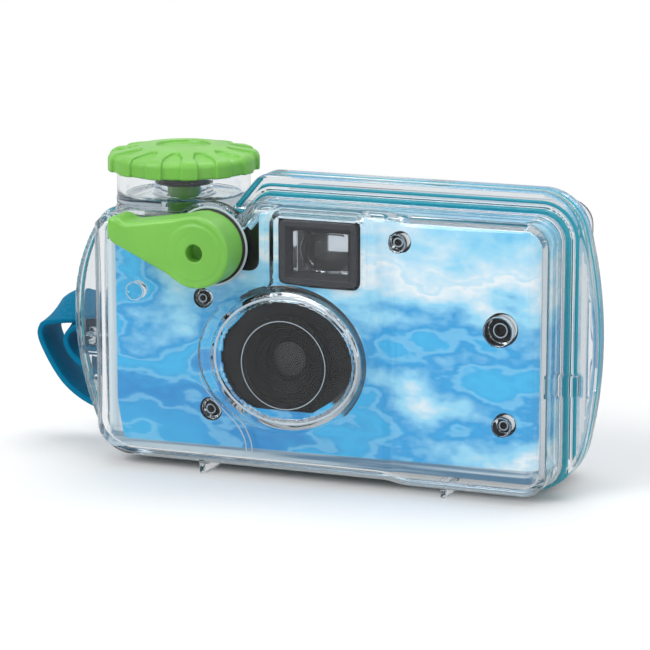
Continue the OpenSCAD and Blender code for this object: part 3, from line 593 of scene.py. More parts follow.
class Tree:
    """A node tree that is being filled."""

    def __init__(self, tree: bpy.types.NodeTree) -> None:
        """Keeps the tree and empties it."""
        self.tree = tree
        tree.nodes.clear()

    def add(self, kind: str, inputs: dict | None = None, **settings: object) -> bpy.types.Node:
        """Adds a node, sets its options and fills its sockets.

        Args:
            kind: Type of the node.
            inputs: Values or sockets for its inputs, by name or number.
            settings: Its options.

        Returns:
            The node.
        """
        node = self.tree.nodes.new(kind)
        for key, value in settings.items():
            setattr(node, key, value)
        for key, value in (inputs or {}).items():
            if isinstance(value, Socket):
                self.tree.links.new(value, node.inputs[key])
            else:
                node.inputs[key].default_value = value
        return node

    def link(self, output: Socket, node: bpy.types.Node, key: str | int) -> None:
        """Joins an output to a node's input."""
        self.tree.links.new(output, node.inputs[key])

    def math(self, operation: str, *values: object) -> Socket:
        """Adds a math node on up to three values and returns its output."""
        return self.add("ShaderNodeMath", dict(enumerate(values)), operation=operation).outputs[0]

    def mix(self, factor: object, a: object, b: object, blend: str = "MIX") -> Socket:
        """Mixes two colours.

        Args:
            factor: Share of the second colour.
            a: First colour.
            b: Second colour.
            blend: How they are mixed.

        Returns:
            The mixed colour.
        """
        node = self.add("ShaderNodeMix", {0: factor, 6: a, 7: b}, data_type="RGBA", blend_type=blend)
        return node.outputs[2]

    def remap(self, value: object, a: float, b: float, c: float, d: float) -> Socket:
        """Maps the range from a to b onto the range from c to d, smoothly and clamped."""
        node = self.add(
            "ShaderNodeMapRange", {0: value, 1: a, 2: b, 3: c, 4: d}, interpolation_type="SMOOTHSTEP"
        )
        return node.outputs[0]

    def ramp(self, value: object, stops: Sequence[tuple[float, Colour]]) -> Socket:
        """Maps a value through a row of colours.

        Args:
            value: The value, from 0 to 1.
            stops: Place and colour of each stop.

        Returns:
            The colour.
        """
        node = self.add("ShaderNodeValToRGB", {0: value})
        elements = node.color_ramp.elements
        while len(elements) < len(stops):
            elements.new(0.5)
        for element, (place, colour) in zip(elements, stops):
            element.position = place
            element.color = colour
        return node.outputs[0]

    def place(self) -> Socket:
        """Returns the piece's own coordinates in metres."""
        return self.add("ShaderNodeTexCoord").outputs["Object"]

    def axes(self) -> tuple[Socket, ...]:
        """Returns the piece's own X, Y and Z in metres."""
        return tuple(self.add("ShaderNodeSeparateXYZ", {0: self.place()}).outputs)

    def noise(self, scale: object, detail: float = 2.0, stretch: Sequence[float] = (1, 1, 1)) -> Socket:
        """Adds a noise texture in the piece's own coordinates.

        Args:
            scale: Waves per metre.
            detail: Number of finer layers.
            stretch: Scale on each axis.

        Returns:
            The noise from 0 to 1.
        """
        vector = self.add("ShaderNodeMapping", {0: self.place(), 3: tuple(stretch)}).outputs[0]
        return self.add("ShaderNodeTexNoise", {"Vector": vector, "Scale": scale, "Detail": detail}).outputs[0]


class Effect(Enum):
    """Surface effects that several finishes share."""

    GRAIN = "moulded grain"
    WEAR = "edge wear"
    MARKS = "handling marks"
    DUST = "settled dust"


class Effects:
    """Builds each shared effect once, as a node group."""

    def __init__(self) -> None:
        """Makes all the groups."""
        self.groups = {
            Effect.GRAIN: self._grain(),
            Effect.WEAR: self._wear(),
            Effect.MARKS: self._marks(),
            Effect.DUST: self._dust(),
        }

    @staticmethod
    def _start(
        name: str, inputs: Sequence[tuple[str, str, object]], outputs: Sequence[tuple[str, str]]
    ) -> tuple[Tree, bpy.types.Node, bpy.types.Node, bpy.types.NodeTree]:
        """Makes an empty group with its sockets.

        Args:
            name: Name of the group.
            inputs: Name, type and usual value of each input.
            outputs: Name and type of each output.

        Returns:
            The tree, its input node, its output node and the group.
        """
        group = bpy.data.node_groups.new(name, "ShaderNodeTree")
        for label, kind, value in inputs:
            socket = group.interface.new_socket(label, in_out="INPUT", socket_type=kind)
            socket.default_value = value
        for label, kind in outputs:
            group.interface.new_socket(label, in_out="OUTPUT", socket_type=kind)
        tree = Tree(group)
        return tree, tree.add("NodeGroupInput"), tree.add("NodeGroupOutput"), group

    def _grain(self) -> bpy.types.NodeTree:
        """Fine texture of a moulded face, with slow drift of tone.

        Returns:
            The group.
        """
        tree, source, sink, group = self._start(
            Effect.GRAIN.value,
            [("Scale", "NodeSocketFloat", 4000.0), ("Drift scale", "NodeSocketFloat", 60.0)],
            [("Height", "NodeSocketFloat"), ("Drift", "NodeSocketFloat")],
        )
        tree.link(tree.noise(source.outputs["Scale"], 3.0), sink, "Height")
        tree.link(tree.noise(source.outputs["Drift scale"], 2.0), sink, "Drift")
        return group

    def _wear(self) -> bpy.types.NodeTree:
        """Paler, rubbed colour along edges that stand out.

        Returns:
            The group.
        """
        tree, source, sink, group = self._start(
            Effect.WEAR.value,
            [
                ("Colour", "NodeSocketColor", (0.5, 0.5, 0.5, 1)),
                ("Worn colour", "NodeSocketColor", (0.7, 0.7, 0.7, 1)),
                ("Amount", "NodeSocketFloat", 0.5),
            ],
            [("Colour", "NodeSocketColor"), ("Mask", "NodeSocketFloat")],
        )
        edge = tree.remap(tree.add("ShaderNodeNewGeometry").outputs["Pointiness"], 0.515, 0.6, 0, 1)
        patchy = tree.remap(tree.noise(240.0, 4.0), 0.35, 0.65, 0.25, 1)
        mask = tree.math("MULTIPLY", tree.math("MULTIPLY", edge, patchy), source.outputs["Amount"])
        colour = tree.mix(mask, source.outputs["Colour"], source.outputs["Worn colour"])
        tree.link(colour, sink, "Colour")
        tree.link(mask, sink, "Mask")
        return group

    def _marks(self) -> bpy.types.NodeTree:
        """Roughness with faint smears and hair-fine scratches.

        Returns:
            The group.
        """
        tree, source, sink, group = self._start(
            Effect.MARKS.value,
            [("Roughness", "NodeSocketFloat", 0.3), ("Amount", "NodeSocketFloat", 0.1)],
            [("Roughness", "NodeSocketFloat"), ("Mask", "NodeSocketFloat")],
        )
        smear = tree.remap(tree.noise(45.0, 3.0), 0.45, 0.75, 0, 1)
        scratch = tree.remap(tree.noise(900.0, 2.0, (0.06, 1, 1)), 0.66, 0.72, 0, 0.6)
        mask = tree.math("MAXIMUM", smear, scratch)
        rough = tree.math("MULTIPLY_ADD", mask, source.outputs["Amount"], source.outputs["Roughness"])
        tree.link(rough, sink, "Roughness")
        tree.link(mask, sink, "Mask")
        return group

    def _dust(self) -> bpy.types.NodeTree:
        """A little pale dust on faces that look up.

        Returns:
            The group.
        """
        tree, source, sink, group = self._start(
            Effect.DUST.value,
            [
                ("Colour", "NodeSocketColor", (0.5, 0.5, 0.5, 1)),
                ("Dust colour", "NodeSocketColor", (0.75, 0.74, 0.72, 1)),
                ("Amount", "NodeSocketFloat", 0.1),
            ],
            [("Colour", "NodeSocketColor"), ("Mask", "NodeSocketFloat")],
        )
        up = tree.add("ShaderNodeSeparateXYZ", {0: tree.add("ShaderNodeNewGeometry").outputs["Normal"]})
        facing = tree.remap(up.outputs[2], 0.3, 1.0, 0, 1)
        specks = tree.remap(tree.noise(1500.0, 5.0), 0.4, 0.75, 0, 1)
        mask = tree.math("MULTIPLY", tree.math("MULTIPLY", facing, specks), source.outputs["Amount"])
        colour = tree.mix(mask, source.outputs["Colour"], source.outputs["Dust colour"])
        tree.link(colour, sink, "Colour")
        tree.link(mask, sink, "Mask")
        return group

    def put(self, tree: Tree, effect: Effect, inputs: dict) -> bpy.types.Node:
        """Places a shared effect in a material.

        Args:
            tree: The material's tree.
            effect: Which effect.
            inputs: Its values by name.

        Returns:
            The group node.
        """
        return tree.add("ShaderNodeGroup", inputs, node_tree=self.groups[effect])


def new_material(name: str) -> tuple[Material, Tree, bpy.types.Node]:
    """Makes a material with an output node only.

    Args:
        name: Name of the material.

    Returns:
        The material, its tree and its output node.
    """
    material = bpy.data.materials.new(name)
    material.use_nodes = True
    tree = Tree(material.node_tree)
    return material, tree, tree.add("ShaderNodeOutputMaterial")


@dataclass(frozen=True)
class MouldedFinish:
    """Opaque moulded plastic, rubber or card in one colour."""

    name: str
    colour: Colour
    worn: Colour
    roughness: float
    grain_scale: float = 4000.0
    grain_depth: float = 0.08
    drift: float = 0.06
    wear: float = 0.35
    marks: float = 0.08
    dust: float = 0.04
    specular: float = 0.5

    def build(self, effects: Effects) -> Material:
        """Makes the material.

        Args:
            effects: The shared effects.

        Returns:
            The material.
        """
        material, tree, sink = new_material(self.name)
        grain = effects.put(tree, Effect.GRAIN, {"Scale": self.grain_scale})
        tone = tree.remap(grain.outputs["Drift"], *NOISE_RANGE, 1 - self.drift, 1 + self.drift)
        shade = tree.add("ShaderNodeHueSaturation", {"Color": self.colour, "Value": tone})
        worn = effects.put(
            tree, Effect.WEAR, {"Colour": shade.outputs[0], "Worn colour": self.worn, "Amount": self.wear}
        )
        dusty = effects.put(tree, Effect.DUST, {"Colour": worn.outputs["Colour"], "Amount": self.dust})
        marks = effects.put(tree, Effect.MARKS, {"Roughness": self.roughness, "Amount": self.marks})
        bump = tree.add(
            "ShaderNodeBump",
            {"Strength": self.grain_depth, "Distance": GRAIN_HEIGHT, "Height": grain.outputs["Height"]},
        )
        shader = tree.add(
            "ShaderNodeBsdfPrincipled",
            {
                "Base Color": dusty.outputs["Colour"],
                "Roughness": marks.outputs["Roughness"],
                "Normal": bump.outputs[0],
                "Specular IOR Level": self.specular,
            },
        )
        tree.link(shader.outputs[0], sink, "Surface")
        return material


@dataclass(frozen=True)
class ClearFinish:
    """Clear moulded plastic or glass that lamps shine through."""

    name: str
    tint: Colour
    index: float = 1.5
    roughness: float = 0.015
    marks: float = 0.03
    depth_colour: Colour | None = None
    density: float = 0.0
    bounces: int = 5

    def build(self, effects: Effects) -> Material:
        """Makes the material.

        Args:
            effects: The shared effects.

        Returns:
            The material.
        """
        material, tree, sink = new_material(self.name)
        marks = effects.put(tree, Effect.MARKS, {"Roughness": self.roughness, "Amount": self.marks})
        glass = tree.add(
            "ShaderNodeBsdfPrincipled",
            {
                "Base Color": self.tint,
                "Roughness": marks.outputs["Roughness"],
                "IOR": self.index,
                "Transmission Weight": 1.0,
            },
        )
        path = tree.add("ShaderNodeLightPath")
        passing = tree.math("MAXIMUM", path.outputs["Is Shadow Ray"], path.outputs["Is Diffuse Ray"])
        caught = tree.math("GREATER_THAN", path.outputs["Ray Depth"], self.bounces + 0.5)
        passing = tree.math("MAXIMUM", passing, caught)
        through = tree.add("ShaderNodeBsdfTransparent", {"Color": self.tint})
        mixed = tree.add("ShaderNodeMixShader", {0: passing, 1: glass.outputs[0], 2: through.outputs[0]})
        tree.link(mixed.outputs[0], sink, "Surface")
        if self.depth_colour is not None:
            fog = tree.add(
                "ShaderNodeVolumeAbsorption", {"Color": self.depth_colour, "Density": self.density}
            )
            tree.link(fog.outputs[0], sink, "Volume")
        return material


@dataclass(frozen=True)
class MetalFinish:
    """Plain sheet, wire or painted metal."""

    name: str
    colour: Colour
    metallic: float
    roughness: float
    grain_scale: float = 6000.0
    drift_scale: float = 300.0
    tones: tuple[float, float] = (0.9, 1.05)
    marks: float = 0.12

    def build(self, effects: Effects) -> Material:
        """Makes the material.

        Args:
            effects: The shared effects.

        Returns:
            The material.
        """
        material, tree, sink = new_material(self.name)
        grain = effects.put(
            tree, Effect.GRAIN, {"Scale": self.grain_scale, "Drift scale": self.drift_scale}
        )
        tone = tree.remap(grain.outputs["Drift"], *NOISE_RANGE, *self.tones)
        shade = tree.add("ShaderNodeHueSaturation", {"Color": self.colour, "Value": tone})
        marks = effects.put(tree, Effect.MARKS, {"Roughness": self.roughness, "Amount": self.marks})
        shader = tree.add(
            "ShaderNodeBsdfPrincipled",
            {
                "Base Color": shade.outputs[0],
                "Metallic": self.metallic,
                "Roughness": marks.outputs["Roughness"],
            },
        )
        tree.link(shader.outputs[0], sink, "Surface")
        return material


@dataclass(frozen=True)
class Waves:
    """Noise of one size in the printed pattern."""

    scale: float
    layers: float
    squeeze: float

    def add(self, tree: Tree) -> Socket:
        """Adds the noise, squeezed upright."""
        return tree.noise(self.scale, self.layers, (1, 1, self.squeeze))


@dataclass(frozen=True)
class PrintedFinish:
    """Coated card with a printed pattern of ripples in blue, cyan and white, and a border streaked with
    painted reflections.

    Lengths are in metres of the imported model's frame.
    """

    name: str
    deep: Colour = srgb(4, 140, 210)
    mid: Colour = srgb(22, 158, 222)
    sky: Colour = srgb(48, 186, 238)
    pale: Colour = srgb(150, 218, 246)
    white: Colour = srgb(240, 246, 249)
    # Dark and pale tones of the border's painted reflection streaks.
    border: tuple[Colour, Colour] = (srgb(70, 116, 146), srgb(214, 226, 231))
    black: Colour = srgb(16, 17, 19)
    swell: Waves = Waves(26.0, 2.0, 1.6)
    chop: Waves = Waves(75.0, 3.0, 2.2)
    spray: Waves = Waves(420.0, 4.0, 1.5)
    shares: tuple[float, float, float] = (1.3, 0.4, 0.12)
    rise: tuple[float, float] = (3.2, 7.0)
    levels: tuple[float, float] = (0.5, 1.95)
    ripples: float = 42.0
    ripple_share: float = 0.42
    edge_x: float = -0.0428
    edge_z: float = 0.0076
    foot_slope: float = -0.013
    lean: float = 0.0018
    lean_z: tuple[float, float] = (0.004, 0.018)
    corner_r: float = 0.002
    blur: float = 0.0003
    # Heights where the painted reflection streaks turn from lying to upright.
    reflection_streaks_turn: tuple[float, float] = (0.007, 0.011)
    disc: tuple[float, float] = (0.00155, 0.0292)
    disc_r: float = 0.0176
    disc_blur: float = 0.0002
    disc_slope: float = 0.9
    disc_fade: float = 0.001
    front_y: float = -0.0105
    roughness: float = 0.32
    marks: float = 0.08
    grain_scale: float = 2600.0
    grain_depth: float = 0.03
    coat: float = 0.2
    coat_roughness: float = 0.2

    def pattern(self, tree: Tree, x: Socket, z: Socket) -> Socket:
        """Adds the ripples.

        Args:
            tree: The material's tree.
            x: Place across the card.
            z: Place up the card.

        Returns:
            Their colour.
        """
        big, small, fine = self.shares
        rise = tree.math("MULTIPLY_ADD", z, self.rise[1], tree.math("MULTIPLY", x, self.rise[0]))
        chop = tree.math("MULTIPLY", self.chop.add(tree), small)
        level = tree.math("ADD", rise, tree.math("MULTIPLY_ADD", self.swell.add(tree), big, chop))
        tone = tree.math("MULTIPLY_ADD", self.spray.add(tree), fine, level)
        base = tree.ramp(
            tree.remap(tone, *self.levels, 0, 1),
            [
                (0.0, self.sky),
                (0.2, self.deep),
                (0.34, self.sky),
                (0.46, self.mid),
                (0.58, self.pale),
                (0.7, self.white),
                (0.84, self.pale),
                (0.94, self.sky),
            ],
        )
        ripple = tree.math("SINE", tree.math("MULTIPLY", level, self.ripples))
        return tree.mix(tree.remap(ripple, 0.5, 1.0, 0, self.ripple_share), base, self.pale)

    def margin(self, tree: Tree, x: Socket, z: Socket) -> Socket:
        """Marks the border at the left and the foot of the card, which is painted with reflections in place
        of the ripples.

        Args:
            tree: The material's tree.
            x: Place across the card.
            z: Place up the card.

        Returns:
            The mask, 1 on the border.
        """
        lean = tree.remap(z, *self.lean_z, self.lean, 0)
        beside = tree.math("SUBTRACT", tree.math("SUBTRACT", x, lean), self.edge_x)
        under = tree.math("SUBTRACT", tree.math("MULTIPLY_ADD", x, self.foot_slope, z), self.edge_z)
        return tree.remap(tree.math("SMOOTH_MIN", beside, under, self.corner_r), -self.blur, 0.0, 1, 0)

    def border_painted_reflection(self, tree: Tree, z: Socket) -> Socket:
        """Paints streaked reflections of clear plastic on the border: lying along the foot of the card, and
        upright beside the picture.

        Args:
            tree: The material's tree.
            z: Place up the card.

        Returns:
            Its colour.
        """
        along = tree.remap(tree.noise(700.0, 2.0, (0.03, 1, 1)), 0.36, 0.64, 0, 0.75)
        upright = tree.remap(tree.noise(500.0, 2.0, (1, 1, 0.04)), 0.34, 0.66, 0.72, 1)
        turn = tree.remap(z, *self.reflection_streaks_turn, 0, 1)
        streak = tree.add("ShaderNodeMix", {0: turn, 2: along, 3: upright}).outputs[0]
        return tree.mix(streak, *self.border)

    def black_field(self, tree: Tree, x: Socket, y: Socket, z: Socket) -> Socket:
        """Marks the upper right of the round black field about the lens.

        Args:
            tree: The material's tree.
            x: Place across the card.
            y: Place from front to back.
            z: Place up the card.

        Returns:
            The mask, 1 on the field.
        """
        u = tree.math("SUBTRACT", x, self.disc[0])
        v = tree.math("SUBTRACT", z, self.disc[1])
        away = tree.math("SQRT", tree.math("ADD", tree.math("MULTIPLY", u, u), tree.math("MULTIPLY", v, v)))
        disc = tree.remap(away, self.disc_r - self.disc_blur, self.disc_r, 1, 0)
        above = tree.math("MULTIPLY_ADD", u, self.disc_slope, v)
        upper = tree.remap(above, -self.disc_fade, self.disc_fade, 0, 1)
        front = tree.math("LESS_THAN", y, self.front_y)
        return tree.math("MULTIPLY", tree.math("MULTIPLY", disc, upper), front)

    def build(self, effects: Effects) -> Material:
        """Makes the material.

        Args:
            effects: The shared effects.

        Returns:
            The material.
        """
        material, tree, sink = new_material(self.name)
        x, y, z = tree.axes()
        # The border is coloured with painted reflection streaks instead of the ripples.
        printed = tree.mix(self.margin(tree, x, z), self.pattern(tree, x, z), self.border_painted_reflection(tree, z))
        printed = tree.mix(self.black_field(tree, x, y, z), printed, self.black)
        marks = effects.put(tree, Effect.MARKS, {"Roughness": self.roughness, "Amount": self.marks})
        grain = effects.put(tree, Effect.GRAIN, {"Scale": self.grain_scale})
        bump = tree.add(
            "ShaderNodeBump",
            {"Strength": self.grain_depth, "Distance": GRAIN_HEIGHT, "Height": grain.outputs["Height"]},
        )
        shader = tree.add(
            "ShaderNodeBsdfPrincipled",
            {
                "Base Color": printed,
                "Roughness": marks.outputs["Roughness"],
                "Normal": bump.outputs[0],
                "Coat Weight": self.coat,
                "Coat Roughness": self.coat_roughness,
            },
        )
        tree.link(shader.outputs[0], sink, "Surface")
        return material


class Finishes:
    """All the materials of the object, by slot, and those of single pieces."""

    def __init__(self, effects: Effects) -> None:
        """Builds every material once."""
        by_slot = {
            Slot.CLEAR: ClearFinish(
                "clear_polycarbonate",
                (0.985, 0.992, 0.995, 1),
                index=1.37,
                depth_colour=srgb(186, 198, 205),
                density=60.0,
            ),
            Slot.SEAL: MouldedFinish(
                "teal_gasket_rubber", srgb(0, 160, 178), srgb(60, 190, 200), 0.42, wear=0.2
            ),
            Slot.STRAP: MouldedFinish(
                "teal_strap_rubber", srgb(0, 110, 148), srgb(8, 128, 166), 0.55, wear=0.2, specular=0.06
            ),
            Slot.GREEN: MouldedFinish(
                "satin_green_plastic", srgb(115, 184, 72), srgb(156, 212, 112), 0.36, wear=0.3
            ),
            Slot.BLACK: MouldedFinish(
                "matt_black_plastic", srgb(16, 17, 19), srgb(40, 42, 46), 0.5, grain_depth=0.03, specular=0.07
            ),
            Slot.BLACK_RUBBER: MouldedFinish("black_seal_rubber", srgb(24, 24, 26), srgb(48, 48, 50), 0.55),
            Slot.PRINT: PrintedFinish("printed_ripple_card"),
            Slot.OPTIC: ClearFinish("clear_lens", (0.8, 0.83, 0.86, 1), index=1.4, marks=0.0),
            Slot.STEEL: MetalFinish("plain_steel", srgb(190, 192, 196), 1.0, 0.3),
            Slot.CAN: MetalFinish("painted_can", srgb(150, 154, 160), 0.2, 0.4),
            Slot.FILM: MouldedFinish("coated_film", srgb(88, 66, 54), srgb(110, 86, 72), 0.25),
            Slot.COUNTER: MouldedFinish("counter_plastic", srgb(225, 226, 226), srgb(235, 235, 235), 0.4),
        }
        self.by_slot = {slot: finish.build(effects) for slot, finish in by_slot.items()}
        # Pale opaque grey for the rings and rods that draw bright lines on the clear moulding: painted
        # highlights.
        self.painted_highlights = MouldedFinish(
            "painted_highlight_line", srgb(176, 188, 198), srgb(200, 208, 214), 0.6, wear=0.0
        ).build(effects)
        # Black for the lens mount, darker than the other matt black: painted shade deep in the lens port.
        self.lens_mount_painted_shade = MouldedFinish(
            "lens_mount_black_painted_shade", srgb(10, 11, 13), srgb(24, 25, 28), 0.5,
            grain_depth=0.02, wear=0.0, specular=0.07,
        ).build(effects)
        # Opaque dark grey in place of the clear lens: painted shade of the dark inside behind it, with the
        # lens's own gloss.
        self.lens_painted_dark = MouldedFinish(
            "lens_painted_dark", srgb(30, 31, 34), srgb(40, 41, 44), 0.22,
            grain_depth=0.0, wear=0.0, dust=0.0, specular=0.3,
        ).build(effects)
        self.finder_black = MouldedFinish(
            "finder_frame_black", srgb(50, 51, 56), srgb(66, 67, 72), 0.45,
            grain_depth=0.03, wear=0.2, specular=0.2,
        ).build(effects)

    def __getitem__(self, slot: Slot) -> Material:
        """Returns the material of a slot."""
        return self.by_slot[slot]


# Outlines that several pieces share.


@dataclass(frozen=True)
class Layout:
    """Places and sizes that the sub-assemblies share."""

    wall: float = 2.0
    body_x0: float = -57.4
    body_x1: float = 56.9
    body_z0: float = 2.7
    body_z1: float = 65.9
    body_dip: float = 61.0
    body_r: float = 6.0
    fall_x: float = -14.5
    slope: float = 50.0
    seal: float = 0.8
    gasket_in: float = 0.2
    gasket_out: float = 1.2
    seal_room: float = 0.3
    lip_gap: float = 0.05
    panel_y: float = -13.1
    back_y: float = 24.1
    flange_t: float = 3.2
    flange_x0: float = -65.3
    flange_x1: float = 64.88
    flange_z0: float = 1.2
    flange_z1: float = 71.5
    flange_dip: float = 61.5
    flange_mid: float = 36.0
    flange_corner_r: float = 14.0
    flange_top_r: float = 11.0
    flange_shoulder_r: float = 7.0
    flange_fall_r: float = 5.0
    flange_round: float = 0.6
    flange_fillet: float = 0.8
    bow_right_r: float = 105.0
    bow_high_r: float = 40.0
    bow_low_r: float = 70.0
    body_fall_r: float = 4.0
    mouth_round: float = 0.2
    channel_round: float = 0.1
    cart: tuple[float, float] = (-41.2, 7.5)
    lever: tuple[float, float] = (-25.5, 55.4)
    strap_x: float = -60.8
    strap_y: tuple[float, float] = (5.5, 16.5)
    lugs_z: tuple[float, float] = (13.0, 26.0)
    lug_h: float = 4.0
    feet_x: tuple[float, float] = (-28.7, 31.6)
    foot_t: float = 1.6
    foot_root: float = 1.0
    foot_round: float = 0.4
    foot_fillet: float = 0.5

    def fall(self, z1: float, z0: float, r: float) -> list[Arc]:
        """Rounds of the slope from the high edge to the low edge, going left.

        Args:
            z1: Height of the high edge.
            z0: Height of the low edge.
            r: Radius of the two rounds.

        Returns:
            The arcs.
        """
        s = math.radians(self.slope)
        run = (z1 - z0 - r * (2 - 2 * math.cos(s))) / math.tan(s) + 2 * r * math.sin(s)
        return [
            Arc((self.fall_x, z1 - r), r, 90, 90 + self.slope),
            Arc((self.fall_x - run, z0 + r), r, 270 + self.slope, 270),
        ]

    def body_outline(self, corner: float | None = None) -> Outline:
        """Makes the distance function of the housing's body, seen from the front.

        Args:
            corner: Radius of its lower left corner, where that is not as the others.

        Returns:
            A function of two coordinates.
        """
        r, low, high = self.body_r, self.body_z0 + self.body_r, self.body_z1 - self.body_r
        left, right = self.body_x0 + self.body_r, self.body_x1 - self.body_r
        c = corner or r
        return smooth_outline_field(
            [
                Arc((right, low), r, -90, 0),
                Arc((right, high), r, 0, 90),
                *self.fall(self.body_z1, self.body_dip, self.body_fall_r),
                Arc((left, self.body_dip - r), r, 90, 180),
                Arc((self.body_x0 + c, self.body_z0 + c), c, 180, 270),
            ]
        )

    def bow(self, edge: float, bow_r: float, r: float, z: float) -> tuple[tuple[float, float], float]:
        """Finds the corner round that runs into a bowed side.

        Args:
            edge: Where the bow is widest.
            bow_r: Radius of the bow.
            r: Radius of the corner.
            z: Height of the corner's centre.

        Returns:
            The corner's centre and the angle where the two meet.
        """
        side = math.copysign(1, edge)
        bow_x = edge - side * bow_r
        x = bow_x + side * math.sqrt((bow_r - r) ** 2 - (z - self.flange_mid) ** 2)
        return (x, z), math.degrees(math.atan2(z - self.flange_mid, x - bow_x))

    def flange_outline(self) -> Outline:
        """Makes the distance function of the flange, whose sides are bowed.

        Returns:
            A function of two coordinates.
        """
        low_z, mid, corner = self.flange_z0 + self.flange_corner_r, self.flange_mid, self.flange_corner_r
        top, shoulder = self.flange_top_r, self.flange_shoulder_r
        right, high, low = self.bow_right_r, self.bow_high_r, self.bow_low_r
        br, angle_br = self.bow(self.flange_x1, right, corner, low_z)
        tr, angle_tr = self.bow(self.flange_x1, right, top, self.flange_z1 - top)
        tl, angle_tl = self.bow(self.flange_x0, high, shoulder, self.flange_dip - shoulder)
        bl, angle_bl = self.bow(self.flange_x0, low, corner, low_z)
        angle_bl %= 360
        return smooth_outline_field(
            [
                Arc(br, corner, -90, angle_br),
                Arc((self.flange_x1 - right, mid), right, angle_br, angle_tr),
                Arc(tr, top, angle_tr, 90),
                *self.fall(self.flange_z1, self.flange_dip, self.flange_fall_r),
                Arc(tl, shoulder, 90, angle_tl),
                Arc((self.flange_x0 + high, mid), high, angle_tl, 180),
                Arc((self.flange_x0 + low, mid), low, 180, angle_bl),
                Arc(bl, corner, angle_bl, 270),
            ]
        )

    def channel(self, body_edge: Distance, y: Grid) -> Distance:
        """Distance from the channel that the gasket lies in.

        Args:
            body_edge: Distance from the body's outline.
            y: Depth from the parting plane, positive on this half.

        Returns:
            The distance.
        """
        room = self.seal_room
        return meet(span(body_edge, -self.gasket_in - room, self.gasket_out + room), y - self.seal)

    def half(self, outer: Distance, body_edge: Distance, flange_edge: Distance, y: Grid) -> Distance:
        """Distance from one half's walls and flange, still without its cavity.

        Args:
            outer: Distance from the half's outside.
            body_edge: Distance from the body's outline.
            flange_edge: Distance from the flange's outline.
            y: Depth from the parting plane, positive on this half.

        Returns:
            The distance.
        """
        flange = span(y, self.lip_gap, self.seal + self.flange_t)
        flange = meet(flange_edge, flange, self.flange_round)
        solid = join(meet(outer, self.lip_gap - y, self.mouth_round), flange, self.flange_fillet)
        return cut(solid, self.channel(body_edge, y), self.channel_round)

    def with_feet(self, solid: Distance, x: Grid, depth: Distance, z: Grid) -> Distance:
        """Adds the ribs that a half stands on.

        Args:
            solid: Distance from the half.
            x: Place across.
            depth: Distance from the slab that the ribs lie in, from front to back.
            z: Height.

        Returns:
            The distance from the half with its ribs.
        """
        for foot in self.feet_x:
            rib = span(x, foot - self.foot_t / 2, foot + self.foot_t / 2)
            rib = meet(rib, span(z, 0, self.body_z0 + self.foot_root), self.foot_round)
            solid = join(solid, meet(rib, depth, self.foot_round), self.foot_fillet)
        return solid


# Sub-assemblies.


@dataclass
class Moulding:
    """A piece that follows the outlines of the housing's body and flange."""

    layout: Layout
    body_2d: Outline = field(init=False)
    flange_2d: Outline = field(init=False)

    def __post_init__(self) -> None:
        """Prepares the outlines."""
        self.body_2d = self.layout.body_outline()
        self.flange_2d = self.layout.flange_outline()


